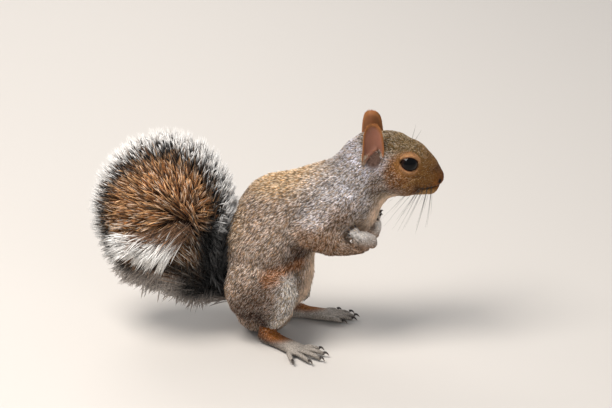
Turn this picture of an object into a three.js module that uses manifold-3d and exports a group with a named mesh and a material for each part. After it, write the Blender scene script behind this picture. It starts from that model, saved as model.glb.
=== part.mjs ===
// A grey squirrel sitting up on its haunches, hands drawn in to the chest and tail curled up behind the back.
// Millimetres, +Z up. The animal faces +X, with its left side on +Y. The flesh and coat are one smooth field
// of tapered, blended limbs; every named part is a piece of it, parted from its neighbours by a thin cut.
import * as THREE from "three";
import { mergeVertices } from "three/addons/utils/BufferGeometryUtils.js";
import Module from "manifold-3d";

const wasm = await Module();
wasm.setup();

// ---------------------------------------------------------------- driving sizes
const GAP = 1.2; // left between neighbouring parts of the flesh
const FIT = 0.3; // left round the eyes and the claws' roots
const MOST_GRIDS = 40; // tried before a surface is given up
const EDGE = 5; // softness of the edges of the cuts
const REACH = 400; // larger than the animal, for half spaces
const HIP = { x: 2, y: 12, yaw: -20 }; // middle of the pelvis, and how far the hips are turned
const EYE = { x: 118, y: 12.6, z: 155.2, radius: 8 };
const EAR = { x: 89.6, y: 16.6, z: 171.2, tall: 37, wide: 17.5, thick: 3, cup: 3.2 };
const EAR_LEAN = 8; // degrees inwards
const EAR_TURN = -12; // degrees from facing straight out to the side, towards the front
const CLAW = { foot: 6.2, hand: 4.6, radius: 1.15 };
const TOE = { radius: 2.6, hand: 1.9 };
const PLUME = {
  x: -77,
  y: 15,
  z: 102,
  yaw: -8,
  halfThick: 36,
  // distance from the middle of the plume to the hair tips, every 30 degrees up from +X
  radii: [61, 63.5, 70, 72, 67, 63, 61.5, 62, 69, 69, 84, 68],
  hub: [-66, 84], // inside the curl, where the cuts between the three lengths meet
  cuts: { baseToMiddle: 14, middleToTip: 108, tipToBase: 232 },
};

// ---------------------------------------------------------------- fields
// A field is a function of (x, y, z): below zero inside, and about the distance in millimetres outside.
const SIDE = new THREE.Vector3(0, 1, 0);

function yawed(degrees) {
  const upright = new THREE.Vector3(0, 0, 1);
  return SIDE.clone().applyAxisAngle(upright, THREE.MathUtils.degToRad(degrees));
}

// A tapered limb through stations [x, y, z, radius, half-width]; the half-width lies along the side.
function limb(stations, side = SIDE) {
  const spans = stations.slice(1).map((end, i) => [stations[i], end]);
  return (x, y, z) => {
    let best = Infinity;
    for (const [a, b] of spans) {
      const run = [b[0] - a[0], b[1] - a[1], b[2] - a[2]];
      const off = [x - a[0], y - a[1], z - a[2]];
      const along = run[0] * run[0] + run[1] * run[1] + run[2] * run[2];
      const dot = off[0] * run[0] + off[1] * run[1] + off[2] * run[2];
      const t = along > 0 ? Math.min(1, Math.max(0, dot / along)) : 0;
      const radius = a[3] + t * (b[3] - a[3]);
      const half = (a[4] ?? a[3]) + t * ((b[4] ?? b[3]) - (a[4] ?? a[3]));
      const d = [off[0] - t * run[0], off[1] - t * run[1], off[2] - t * run[2]];
      const lateral = d[0] * side.x + d[1] * side.y + d[2] * side.z;
      const squeeze = lateral * (radius / half - 1);
      const dx = d[0] + squeeze * side.x;
      const dy = d[1] + squeeze * side.y;
      const dz = d[2] + squeeze * side.z;
      best = Math.min(best, Math.sqrt(dx * dx + dy * dy + dz * dz) - radius);
    }
    return best;
  };
}

// Joins two distances with a fillet about as wide as the softness.
function blend(a, b, softness) {
  const h = Math.max(softness - Math.abs(a - b), 0) / softness;
  return Math.min(a, b) - (h * h * softness) / 4;
}

// Keeps what is inside both, with the edge between them eased so that no thin lip is left.
function within(a, b) {
  return -blend(-a, -b, EDGE);
}

function union(parts) {
  return (x, y, z) => parts.reduce((sum, [field, softness]) => blend(sum, field(x, y, z), softness), 1e3);
}

const grown = (field, by) => (x, y, z) => field(x, y, z) - by;

// ---------------------------------------------------------------- the animal's limbs
const hips = yawed(HIP.yaw);
const trunk = limb(
  [
    [HIP.x, HIP.y, 25.5, 27, 27],
    [6, 10, 55, 38, 35],
    [8, 7, 82, 38, 36],
    [18, 4, 102, 38, 35],
    [42, 1, 113, 33.5, 31],
    [64, 0, 118, 32, 28],
  ],
  hips,
);
const neck = limb([
  [62, 0, 120, 31, 27],
  [76, 0, 134, 27, 23],
  [88, 0, 147, 26, 21],
]);
const head = limb([
  [91, 0, 151.5, 25, 20],
  [103, 0, 150.5, 27.5, 21],
  [115, 0, 147.5, 24.5, 19],
  [124, 0, 144, 20, 15.5],
  [131, 0, 141, 15.5, 12],
  [137, 0, 138.5, 10.8, 9],
  [140.5, 0, 137.5, 7.5, 7],
]);
const nose = limb([
  [139, 0, 140, 6, 5.4],
  [143.6, 0, 139.4, 4, 4],
]);
const chin = limb([
  [128, 0, 131, 9, 8],
  [136.8, 0, 129.8, 5.4, 5.2],
]);
const cheek = (s) => limb([[106, s * 11, 140, 13], [116, s * 9, 136, 11]]);
const earRoot = (s) => limb([[91, s * 11, 160, 7, 6], [90, s * 13, 166, 4.5, 4]]);

// Near side is the animal's right (-Y); far side its left (+Y). Each leg has its own stance.
const LEGS = {
  right: {
    thigh: [
      [-6, -14.5, 44, 26, 15],
      [12, -28, 47, 20, 13],
    ],
    shank: [
      [15, -28, 48, 15, 12],
      [13, -26, 30, 11.5],
      [6, -17, 14, 8],
    ],
    heel: [4, -13, 5.2],
    ball: [31, -39],
    toes: [
      [47, -33],
      [51, -43],
      [48, -52.5],
      [39, -58],
      [25.5, -58],
    ],
    knuckles: [
      [34, -31.5],
      [35, -36.5],
      [33, -41],
      [28.5, -44.5],
      [22.5, -44],
    ],
  },
  left: {
    thigh: [
      [9.5, 35, 40, 25, 14],
      [24, 38, 41, 17, 12],
    ],
    shank: [
      [30, 35, 38, 13, 11],
      [31, 35, 24, 11],
      [24, 38, 12, 7.5],
    ],
    heel: [18, 40, 5.2],
    ball: [55, 32],
    toes: [
      [66, 21],
      [74, 26.5],
      [76, 33],
      [72, 40],
      [62, 45],
    ],
    knuckles: [
      [52.5, 25],
      [56.5, 28.5],
      [58, 33],
      [55.5, 37],
      [50.5, 40],
    ],
  },
};
const ARMS = {
  right: {
    upper: [
      [60, -20, 116, 18, 11],
      [44, -27, 100, 14, 10],
    ],
    fore: [
      [40, -28, 99, 12.5, 11],
      [56, -27.5, 90.5, 10],
      [70, -25, 86.5, 7.4],
      [82, -21, 84.6, 5.9],
      [89, -18, 86.5, 5.6],
    ],
    hand: [
      [89, -18, 91.5, 5],
      [83, -21.5, 94.5, 5.8],
      [78.5, -24, 96.5, 5.2],
    ],
    fingers: [
      [71.5, -27.5, 97.5],
      [71, -27.5, 100.5],
      [73, -26.5, 103],
      [76.5, -25.5, 104],
    ],
  },
  left: {
    upper: [
      [60, 20, 115, 18, 11],
      [46, 27, 99, 14, 10],
    ],
    fore: [
      [44, 28, 98, 12.5, 11],
      [60, 27, 89, 10],
      [74, 23, 83, 7.4],
      [86, 17, 81, 5.9],
      [91, 14.5, 83, 5.6],
    ],
    hand: [
      [91.5, 14, 85.5, 5.2],
      [93, 12, 91, 5.6],
      [93, 10, 94.5, 5],
    ],
    fingers: [
      [95.5, 13.5, 101],
      [96.5, 10, 102.5],
      [96.5, 6.5, 101.5],
      [94.5, 3.5, 99],
    ],
  },
};

function footParts(leg) {
  const [bx, by] = leg.ball;
  const [hx, hy, hz] = leg.heel;
  const course = new THREE.Vector3(bx - hx, by - hy, 0).normalize();
  const side = new THREE.Vector3(-course.y, course.x, 0);
  const sole = limb(
    [
      [hx, hy, hz, 5.8, 6.2],
      [hx + 0.5 * (bx - hx), hy + 0.5 * (by - hy), 5, 5.4, 7.6],
      [bx, by, 4, 4.3, 10.5],
    ],
    side,
  );
  return [[sole, 6]];
}

// The toes and fingers as bent sausages: [start, middle, end], each [x, y, z, radius].
function toesOf(leg) {
  return leg.toes.map(([x, y], i) => {
    const [kx, ky] = leg.knuckles[i];
    return [
      [kx, ky, 3.8, TOE.radius + 0.7],
      [0.4 * kx + 0.6 * x, 0.4 * ky + 0.6 * y, 4.2, TOE.radius + 0.2],
      [x, y, TOE.radius - 0.3, TOE.radius],
    ];
  });
}

function fingersOf(arm) {
  const [px, py, pz] = arm.hand.at(-1);
  return arm.fingers.map(([x, y, z], i) => [
    [px, py, pz, TOE.hand + 0.9],
    [(px + x) / 2 + (i - 1.5) / 2, (py + y) / 2, (pz + z) / 2 + 1.2, TOE.hand + 0.4],
    [x, y, z, TOE.hand],
  ]);
}

// Each limb as pairs of a field and the softness with which it joins the rest.
const LIMBS = {
  trunk: [[trunk, 1]],
  neck: [[neck, 12]],
  head: [
    [head, 10],
    [nose, 3],
    [chin, 3],
    ...[-1, 1].flatMap((s) => [
      [cheek(s), 6],
      [earRoot(s), 5],
    ]),
  ],
};
for (const [side, leg] of Object.entries(LEGS)) {
  LIMBS[`foot_${side}`] = footParts(leg);
  LIMBS[`shank_${side}`] = [[limb(leg.shank), 6]];
  LIMBS[`thigh_${side}`] = [[limb(leg.thigh, hips), 7]];
}
for (const [side, arm] of Object.entries(ARMS)) {
  LIMBS[`hand_${side}`] = [[limb(arm.hand), 3]];
  LIMBS[`forearm_${side}`] = [[limb(arm.fore), 5]];
  LIMBS[`upper_arm_${side}`] = [[limb(arm.upper), 8]];
}

// The limbs that flow into each other, so that a part's surface runs on smoothly past its cuts.
const JOINED = [
  ["trunk", "neck", "thigh_right", "thigh_left", "upper_arm_right", "upper_arm_left"],
  ["neck", "head", "trunk", "upper_arm_right", "upper_arm_left"],
  ["head", "neck"],
  ...["right", "left"].flatMap((side) => [
    [`thigh_${side}`, "trunk", `shank_${side}`],
    [`shank_${side}`, `thigh_${side}`, `foot_${side}`],
    [`foot_${side}`, `shank_${side}`],
    [`upper_arm_${side}`, "trunk", "neck", `forearm_${side}`],
    [`forearm_${side}`, `upper_arm_${side}`, `hand_${side}`],
    [`hand_${side}`, `forearm_${side}`],
  ]),
];
const fieldOf = Object.fromEntries(
  JOINED.map((names) => [names[0], union([...names].sort(byOrder).flatMap((name) => LIMBS[name]))]),
);

function byOrder(a, b) {
  const order = ["trunk", "neck", "head", "thigh", "shank", "foot", "upper", "forearm", "hand"];
  return order.indexOf(a.split("_")[0]) - order.indexOf(b.split("_")[0]);
}

// ---------------------------------------------------------------- the plume
const plumeTurn = THREE.MathUtils.degToRad(PLUME.yaw);

function plumeRadius(angle) {
  const turns = PLUME.radii.length;
  const place = ((angle / (2 * Math.PI)) * turns + turns) % turns;
  const i = Math.floor(place);
  const f = place - i;
  const r = (k) => PLUME.radii[(k + turns) % turns];
  const slope = (k) => (r(k + 1) - r(k - 1)) / 2;
  const g = 1 - f;
  const ends = r(i) * g * g * (1 + 2 * f) + r(i + 1) * f * f * (3 - 2 * f);
  return ends + slope(i) * f * g * g - slope(i + 1) * f * f * g;
}

function plume(x, y, z) {
  const dx = x - PLUME.x;
  const dy = y - PLUME.y;
  const across = dx * Math.cos(plumeTurn) + dy * Math.sin(plumeTurn);
  const through = -dx * Math.sin(plumeTurn) + dy * Math.cos(plumeTurn);
  const dz = z - PLUME.z;
  const out = Math.hypot(across, dz);
  const edge = plumeRadius(Math.atan2(dz, across));
  return (Math.hypot(out / edge, through / PLUME.halfThick) - 1) * PLUME.halfThick;
}

// ---------------------------------------------------------------- from a field to a closed mesh
// The surface where a field is zero. The grid is shifted until the mesh nowhere touches itself.
function surface(field, box, cell) {
  for (let turn = 0; turn < MOST_GRIDS; turn++) {
    const shift = new THREE.Vector3(0.61 * turn, 0.37 * turn, 0.83 * turn).multiplyScalar(cell);
    const net = netOver(field, box, cell, new THREE.Vector3(shift.x % cell, shift.y % cell, shift.z % cell));
    if (!pinched(net)) return net;
  }
  throw new Error("no grid gives a mesh that nowhere touches itself");
}

// Whether the mesh touches itself along an edge.
function pinched(geometry) {
  const index = geometry.index.array;
  const seen = new Set();
  for (let i = 0; i < index.length; i++) {
    const next = i % 3 === 2 ? i - 2 : i + 1;
    const edge = `${index[i]}>${index[next]}`;
    if (seen.has(edge)) return true;
    seen.add(edge);
  }
  return false;
}

// Puts one point in each cell that the surface crosses, slides it onto the surface, and joins the points of
// the four cells round each crossed edge with two triangles.
function netOver(field, box, cell, shift) {
  const low = box.min.clone().sub(shift);
  const count = ["x", "y", "z"].map((k) => Math.ceil((box.max[k] - low[k]) / cell) + 2);
  const [nx, ny, nz] = count;
  const at = (i, j, k) => i + nx * (j + ny * k);
  const value = new Float64Array(nx * ny * nz);
  for (let k = 0; k < nz; k++) {
    for (let j = 0; j < ny; j++) {
      for (let i = 0; i < nx; i++) {
        const rim = i === 0 || j === 0 || k === 0 || i === nx - 1 || j === ny - 1 || k === nz - 1;
        const here = field(low.x + i * cell, low.y + j * cell, low.z + k * cell);
        value[at(i, j, k)] = rim ? Math.max(here, 0.05 * cell) : here;
      }
    }
  }
  const points = [];
  const pointOf = new Map();
  const corners = [0, 1, 2, 3, 4, 5, 6, 7].map((c) => [c & 1, (c >> 1) & 1, c >> 2]);
  const edges = corners.flatMap((a, m) =>
    [0, 1, 2].filter((axis) => !a[axis]).map((axis) => [m, m | (1 << axis)]),
  );
  for (let k = 0; k < nz - 1; k++) {
    for (let j = 0; j < ny - 1; j++) {
      for (let i = 0; i < nx - 1; i++) {
        const v = corners.map(([a, b, c]) => value[at(i + a, j + b, k + c)]);
        const sum = [0, 0, 0];
        let crossed = 0;
        for (const [m, n] of edges) {
          if (v[m] < 0 !== v[n] < 0) {
            const t = v[m] / (v[m] - v[n]);
            for (let axis = 0; axis < 3; axis++) {
              sum[axis] += corners[m][axis] + t * (corners[n][axis] - corners[m][axis]);
            }
            crossed++;
          }
        }
        if (crossed) {
          const place = [i, j, k].map((start, axis) => (start + sum[axis] / crossed) * cell);
          pointOf.set(at(i, j, k), points.length);
          points.push(slid(field, low.x + place[0], low.y + place[1], low.z + place[2], 0.4 * cell));
        }
      }
    }
  }
  const faces = [];
  const step = [1, nx, nx * ny];
  for (let k = 0; k < nz - 1; k++) {
    for (let j = 0; j < ny - 1; j++) {
      for (let i = 0; i < nx - 1; i++) {
        for (let axis = 0; axis < 3; axis++) {
          const here = at(i, j, k);
          const inside = value[here] < 0;
          if (inside === value[here + step[axis]] < 0) continue;
          const u = step[(axis + 1) % 3];
          const w = step[(axis + 2) % 3];
          const ring = [here - u - w, here - w, here, here - u].map((cellIndex) => pointOf.get(cellIndex));
          if (!inside) ring.reverse();
          const [a, b, c, d] = ring;
          const near = points[a].distanceTo(points[c]) <= points[b].distanceTo(points[d]);
          faces.push(...(near ? [a, b, c, a, c, d] : [a, b, d, b, c, d]));
        }
      }
    }
  }
  const geometry = new THREE.BufferGeometry();
  geometry.setAttribute("position", new THREE.Float32BufferAttribute(points.flatMap((p) => p.toArray()), 3));
  geometry.setIndex(faces);
  return geometry;
}

// Moves a point down the field's slope onto the surface, by no more than the limit.
function slid(field, x, y, z, limit) {
  const h = 0.05;
  const start = new THREE.Vector3(x, y, z);
  const point = start.clone();
  for (let round = 0; round < 3; round++) {
    const value = field(point.x, point.y, point.z);
    const slope = new THREE.Vector3(
      field(point.x + h, point.y, point.z) - value,
      field(point.x, point.y + h, point.z) - value,
      field(point.x, point.y, point.z + h) - value,
    ).divideScalar(h);
    point.addScaledVector(slope, -value / Math.max(slope.lengthSq(), 0.2));
  }
  const move = point.sub(start);
  return start.add(move.clampLength(0, limit));
}

// ---------------------------------------------------------------- solids
function solid(geometry) {
  let merged = geometry;
  if (geometry.attributes.normal) {
    const bare = geometry.clone();
    bare.deleteAttribute("normal");
    bare.deleteAttribute("uv");
    merged = mergeVertices(bare, 1e-4);
  }
  return new wasm.Manifold(
    new wasm.Mesh({
      numProp: 3,
      vertProperties: Float32Array.from(merged.attributes.position.array),
      triVerts: Uint32Array.from(merged.index.array),
    }),
  );
}

// A mesh whose faces point out, whichever way its making turned them.
function outward(geometry) {
  const piece = solid(geometry);
  if (piece.volume() > 0) return piece;
  const flipped = geometry.clone();
  const index = Array.from(flipped.index.array);
  flipped.setIndex(index.flatMap((_, i) => (i % 3 ? [] : [index[i], index[i + 2], index[i + 1]])));
  return solid(flipped);
}

function fromSolid(piece) {
  const { vertProperties, triVerts } = piece.getMesh();
  const geometry = new THREE.BufferGeometry();
  geometry.setAttribute("position", new THREE.Float32BufferAttribute(vertProperties, 3));
  geometry.setIndex(Array.from(triVerts));
  return geometry;
}

// Everything on the side of a plane that its direction points to.
function halfSpace(point, direction) {
  const way = new THREE.Vector3(...direction).normalize();
  const block = new THREE.BoxGeometry(REACH, REACH, REACH);
  block.translate(0, 0, REACH / 2);
  block.applyQuaternion(new THREE.Quaternion().setFromUnitVectors(new THREE.Vector3(0, 0, 1), way));
  block.translate(...point);
  return solid(block);
}

function boxAround(stations, margin) {
  const box = new THREE.Box3();
  for (const [x, y, z, radius, half] of stations) {
    const reach = Math.max(radius, half ?? 0) + margin;
    box.expandByPoint(new THREE.Vector3(x - reach, y - reach, z - reach));
    box.expandByPoint(new THREE.Vector3(x + reach, y + reach, z + reach));
  }
  return box;
}

// ---------------------------------------------------------------- claims: which part owns which stretch
// Each claim has a field, below zero in the space that the part owns, and the stations that its box is drawn
// round. A part gives way to the claims made before its own.
const claims = {};

function claim(name, field, stations) {
  claims[name] = { field, stations };
}

// Head and neck are parted by flat cuts: the part owns everything that the plane's direction points to.
function claimPast(name, point, direction, stations) {
  const way = new THREE.Vector3(...direction).normalize();
  const back = way.clone().multiplyScalar(-FIT).add(new THREE.Vector3(...point));
  const own = halfSpace(point, direction);
  const rest = halfSpace(back.toArray(), way.negate().toArray());
  claims[name] = { field: () => -REACH, stations, own, rest };
}

claimPast("head", [90.5, 0, 145.5], [0.904, 0, 0.427], [
  [92, 0, 148, 34],
  [147, 0, 140, 10],
]);
for (const [side, leg] of Object.entries(LEGS)) {
  const sole = [
    [...leg.heel, 9],
    [...leg.ball, 4, 14],
  ];
  claim(`foot_${side}`, grown(union(footParts(leg)), 2.5), sole);
  claim(`shank_${side}`, grown(limb(leg.shank), 2.5), leg.shank);
  claim(`thigh_${side}`, grown(limb(leg.thigh, hips), 2.5), leg.thigh);
}
for (const [side, arm] of Object.entries(ARMS)) {
  claim(`hand_${side}`, grown(limb(arm.hand), 1.5), arm.hand);
  claim(`forearm_${side}`, grown(limb(arm.fore), 1.6), arm.fore);
  claim(`upper_arm_${side}`, grown(limb(arm.upper), 2), arm.upper);
}
claimPast("neck", [77, 0, 131], [0.74, 0, 0.67], [
  [78, 0, 130, 34],
  [84, 0, 146, 34],
]);
claim("trunk", () => -REACH, [
  [HIP.x, HIP.y, 40, 44],
  [64, 0, 118, 42],
]);

// The size of the surface's facets, which are finest where a limb is thin.
const CELL = {
  tail: 13,
  head: 5.6,
  neck: 9,
  trunk: 10,
  thigh: 9,
  shank: 8,
  foot: 5,
  upper: 8,
  forearm: 5.4,
  hand: 4.2,
};
const FLOOR = halfSpace([0, 0, 0], [0, 0, 1]);

function earlierThan(name) {
  const names = Object.keys(claims);
  return names.slice(0, names.indexOf(name));
}

// Trims what the facets of a coarse surface still push into the neighbours already made, a little more
// deeply where the first cut leaves the piece touching itself along an edge.
function clearOf(piece, names) {
  const touching = names.filter((name) => piece.intersect(solids[name]).volume() > 0);
  for (const fit of [1, 1.2, 1.4, 1.6, 1.8, 2].map((times) => times * FIT)) {
    const trim = (rest, name) => rest.subtract(partOf(name, fit)).subtract(solids[name]);
    const clean = largest(touching.reduce(trim, piece));
    if (!pinched(mergeVertices(fromSolid(clean), 1e-3))) return clean;
  }
  throw new Error("a piece touches itself whatever the fit");
}

// A part is its limbs' surface inside its own claim, clear of the claims made before it, and grown if asked.
function partOf(name, by = 0) {
  const cell = CELL[name.split("_")[0]];
  const earlier = earlierThan(name).map((other) => claims[other]);
  const rivals = earlier.filter((other) => !other.rest).map((other) => other.field);
  const field = (x, y, z) => {
    const own = Math.max(fieldOf[name](x, y, z), claims[name].field(x, y, z));
    return rivals.reduce((sum, rival) => within(sum, GAP - rival(x, y, z)), own) - by;
  };
  const box = boxAround(claims[name].stations, 4 + 1.5 * cell);
  const halves = [claims[name].own, ...earlier.map((other) => other.rest)].filter(Boolean);
  const uncut = solid(surface(field, box, cell)).intersect(FLOOR);
  return largest(halves.reduce((piece, half) => piece.intersect(half), uncut));
}

// The biggest of the bodies that a cut leaves, once points closer than a micrometre are one.
function largest(piece) {
  const biggest = (bodies) => bodies.sort((a, b) => b.volume() - a.volume())[0];
  const merged = mergeVertices(fromSolid(biggest(piece.decompose())), 1e-3);
  return biggest(solid(merged).decompose());
}

// ---------------------------------------------------------------- ears, eyes and claws
// A thin cupped leaf: a sphere squeezed to the ear's outline, hollowed towards its open side.
function earGeometry(side) {
  const leaf = new THREE.SphereGeometry(1, 10, 9);
  const place = leaf.attributes.position;
  for (let i = 0; i < place.count; i++) {
    const across = place.getX(i);
    const up = place.getZ(i);
    const taper = up > 0 ? 1 - 0.16 * up * up : 1 - 0.1 * up * up;
    const cup = EAR.cup * (across * across - 0.5) + 1.2 * up * up;
    place.setXYZ(
      i,
      (across * taper * EAR.wide) / 2,
      side * (cup + (place.getY(i) * EAR.thick) / 2),
      (up * EAR.tall) / 2,
    );
  }
  return leaf;
}

function eyeball(side, by = 0) {
  const ball = new THREE.SphereGeometry(EYE.radius + by, 12, 8);
  ball.rotateX(Math.PI / 2);
  ball.translate(EYE.x, side * EYE.y, EYE.z);
  return ball;
}

// A sphere drawn out along three stations [x, y, z, radius], with round ends.
function sausage(stations, by = 0, around = 6, along = 5) {
  const [a, m, b] = stations.map((s) => new THREE.Vector3(...s));
  const control = m.clone().multiplyScalar(2).sub(a.clone().add(b).divideScalar(2));
  const bend = new THREE.QuadraticBezierCurve3(a, control, b);
  const shape = new THREE.SphereGeometry(1, around, along);
  shape.rotateX(Math.PI / 2);
  const place = shape.attributes.position;
  const [ra, rm, rb] = stations.map((s) => s[3] + by);
  for (let i = 0; i < place.count; i++) {
    const run = place.getZ(i);
    const t = (run + 1) / 2;
    const radius = t < 0.5 ? ra + 2 * t * (rm - ra) : rm + (2 * t - 1) * (rb - rm);
    const ring = Math.hypot(place.getX(i), place.getY(i));
    const full = ring > 1e-6 ? Math.pow(ring, 0.55) / ring : 0;
    const way = bend.getTangent(t);
    const side = new THREE.Vector3(0, 0, 1).cross(way).normalize();
    const up = new THREE.Vector3().crossVectors(way, side);
    const point = bend
      .getPoint(t)
      .addScaledVector(side, place.getX(i) * full * radius)
      .addScaledVector(up, place.getY(i) * full * radius)
      .addScaledVector(way, run * radius * 0.8);
    place.setXYZ(i, point.x, point.y, point.z);
  }
  return shape;
}

// A curved claw that grows from a toe's tip and bends down towards the floor.
function claw([, middle, tip], length) {
  const run = tip.map((value, i) => value - middle[i]);
  const way = new THREE.Vector3(run[0], run[1], 0.6 * run[2]).normalize();
  const at = (distance, drop, radius) => [
    tip[0] + way.x * distance,
    tip[1] + way.y * distance,
    tip[2] + way.z * distance - drop,
    radius,
  ];
  const start = 0.6 * tip[3];
  return sausage(
    [
      at(start, -0.9, CLAW.radius),
      at(start + length / 2, -0.9, 0.75 * CLAW.radius),
      at(start + length, 0.9, 0.3 * CLAW.radius),
    ],
    0,
    5,
    4,
  );
}

// ---------------------------------------------------------------- the scene graph
const FINISH = {
  crown: { color: "#7d6a4c", roughness: 0.9 },
  nape: { color: "#9a9690", roughness: 0.9 },
  back: { color: "#8a7b63", roughness: 0.92 },
  thigh: { color: "#7f705a", roughness: 0.92 },
  shank: { color: "#a9a196", roughness: 0.92 },
  foot: { color: "#b08a58", roughness: 0.9 },
  arm: { color: "#8b765a", roughness: 0.92 },
  hand: { color: "#c9c3b8", roughness: 0.88 },
  ear: { color: "#b98a66", roughness: 0.8 },
  eye: { color: "#120c0a", roughness: 0.08 },
  claw: { color: "#3a2f28", roughness: 0.4 },
  plume: { color: "#6b4a2a", roughness: 0.95 },
};

const squirrel = new THREE.Group();
const solids = {};

function add(name, piece, finish) {
  const material = new THREE.MeshStandardMaterial({ metalness: 0, ...FINISH[finish] });
  const mesh = new THREE.Mesh(fromSolid(piece), material);
  mesh.name = name;
  squirrel.add(mesh);
  solids[name] = piece;
}

const finishOf = { head: "crown", neck: "nape", trunk: "back", forearm: "arm", upper: "arm" };
for (const name of Object.keys(claims)) {
  const kind = name.split("_")[0];
  let piece = clearOf(partOf(name), earlierThan(name));
  if (name === "head") {
    for (const side of [-1, 1]) piece = piece.subtract(solid(eyeball(side, FIT)));
  }
  add(name, piece, finishOf[kind] ?? kind);
}

const SIDES = { right: -1, left: 1 };
for (const [side, sign] of Object.entries(SIDES)) {
  const ear = earGeometry(sign);
  ear.rotateX(THREE.MathUtils.degToRad(sign * EAR_LEAN));
  ear.rotateZ(THREE.MathUtils.degToRad(sign * EAR_TURN));
  ear.translate(EAR.x, sign * EAR.y, EAR.z);
  add(`ear_${side}`, clearOf(outward(ear), ["head", "neck"]), "ear");
  add(`eye_${side}`, solid(eyeball(sign)), "eye");
}

function addDigits(name, digits, clawName, length, near) {
  const digitSolids = digits.map((digit) => solid(sausage(digit)));
  const joined = digitSolids.reduce((sum, digit) => sum.add(digit), solids[name]);
  const whole = clearOf(joined.intersect(FLOOR), near);
  squirrel.getObjectByName(name).geometry = fromSolid(whole);
  digits.forEach((digit, i) => {
    const roots = digits.map((other) => solid(sausage(other, FIT)));
    const hook = solid(claw(digit, length)).intersect(FLOOR);
    const horn = roots.reduce((rest, root) => rest.subtract(root), hook);
    add(`${clawName}_${i + 1}`, clearOf(horn, near), "claw");
  });
}
for (const side of Object.keys(SIDES)) {
  const chest = ["trunk", `upper_arm_${side}`, `forearm_${side}`];
  addDigits(`foot_${side}`, toesOf(LEGS[side]), `claw_foot_${side}`, CLAW.foot, []);
  addDigits(`hand_${side}`, fingersOf(ARMS[side]), `claw_hand_${side}`, CLAW.hand, chest);
}

// The tail: one plume, clear of the body, parted into three lengths round the inside of its curl.
const plumeBox = new THREE.Box3(
  new THREE.Vector3(PLUME.x - 90, PLUME.y - 60, -8),
  new THREE.Vector3(PLUME.x + 90, PLUME.y + 60, PLUME.z + 90),
);

// The half space counter-clockwise (turn 1) or clockwise (turn -1) of a ray from the hub, seen from the right.
function besideRay(degrees, turn) {
  const a = THREE.MathUtils.degToRad(degrees);
  const way = [-Math.sin(a) * turn, 0, Math.cos(a) * turn];
  const [x, z] = PLUME.hub;
  return halfSpace([x + (way[0] * FIT) / 2, PLUME.y, z + (way[2] * FIT) / 2], way);
}

const { baseToMiddle, middleToTip, tipToBase } = PLUME.cuts;
const lengths = {
  tail_base: [tipToBase, baseToMiddle],
  tail_middle: [baseToMiddle, middleToTip],
  tail_tip: [middleToTip, tipToBase],
};
const fleshBeside = ["trunk", "thigh_right", "thigh_left"];
const wholePlume = clearOf(solid(surface(plume, plumeBox, CELL.tail)).intersect(FLOOR), fleshBeside);
for (const [name, [from, to]] of Object.entries(lengths)) {
  add(name, largest(wholePlume.intersect(besideRay(from, 1)).intersect(besideRay(to, -1))), "plume");
}

// The origin is under the middle of the whole, on the floor.
const box = new THREE.Box3().setFromObject(squirrel);
const middle = box.getCenter(new THREE.Vector3());
squirrel.position.set(-middle.x, -middle.y, -box.min.z);

export default squirrel;
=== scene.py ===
"""A grey squirrel on its haunches: one skin, a coat of solid tufts, eyes, lids, claws and whiskers.

Places are in millimetres from the point on the floor under the pelvis.
The animal faces +X and its right side is -Y.
"""

import math

import bmesh
import bpy
import numpy as np
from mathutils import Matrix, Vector
from mathutils.bvhtree import BVHTree


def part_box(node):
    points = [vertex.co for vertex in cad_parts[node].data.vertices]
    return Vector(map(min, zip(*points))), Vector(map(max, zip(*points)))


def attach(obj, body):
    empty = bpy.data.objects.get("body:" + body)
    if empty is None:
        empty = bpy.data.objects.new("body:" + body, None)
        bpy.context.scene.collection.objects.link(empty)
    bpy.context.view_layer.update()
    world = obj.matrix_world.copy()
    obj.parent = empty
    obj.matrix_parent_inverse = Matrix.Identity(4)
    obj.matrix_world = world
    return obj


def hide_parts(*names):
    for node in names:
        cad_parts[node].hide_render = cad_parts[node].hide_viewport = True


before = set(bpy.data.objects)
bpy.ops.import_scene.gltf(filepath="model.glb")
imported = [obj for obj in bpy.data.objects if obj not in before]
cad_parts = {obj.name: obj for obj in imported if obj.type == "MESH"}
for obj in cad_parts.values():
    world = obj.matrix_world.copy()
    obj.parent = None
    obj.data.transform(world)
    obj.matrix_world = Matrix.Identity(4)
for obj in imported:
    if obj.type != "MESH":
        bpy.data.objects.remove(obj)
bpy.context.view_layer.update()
rng = np.random.default_rng(20)

MM = 0.001
SIDES = {"right": -1, "left": 1}
EYE = np.array([118.0, 12.6, 155.2])  # middle of the left eyeball; the right one mirrors it
EYE_RADIUS = 8.0
EYE_AXIS = np.array([0.20, 0.96, 0.13])  # where the left eye looks
OPENING = (7.3, 5.3)  # half the length and half the height of the opening between the lids
OPENING_TILT = 16  # degrees that the front corner is lower
UNIT = 0.003  # a tuft's patch on the baking map


def middle_of(node):
    low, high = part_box(node)
    return (np.array(low) + np.array(high)) / 2


# The point under the pelvis, in the frame's metres.
HOME = (middle_of("eye_right") + middle_of("eye_left")) / 2 - EYE * [1, 0, 1] * MM


def unit(vectors):
    return vectors / np.maximum(np.linalg.norm(vectors, axis=-1, keepdims=True), 1e-9)


def dot(a, b):
    return np.sum(a * b, axis=-1, keepdims=True)


def ease(low, high, value):
    """0 below low, 1 above high, smooth between."""
    t = np.clip((value - low) / (high - low), 0, 1)
    return t * t * (3 - 2 * t)


def bell(distance):
    """1 at no distance, falling to a third at 1."""
    return np.exp(-(distance**2))


def off_centre(points, middle, radii):
    """Distance from a middle, counted in radii."""
    return np.linalg.norm((points - np.array(middle)) / radii, axis=1)


def sided(place, sign):
    """A place or direction of the left side, mirrored where the sign is -1."""
    return np.array(place) * [1, sign, 1]


def on_left(points):
    """The points, with those of the right side mirrored to the left."""
    return points * [1, 0, 1] + np.abs(points) * [0, 1, 0]


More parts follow.
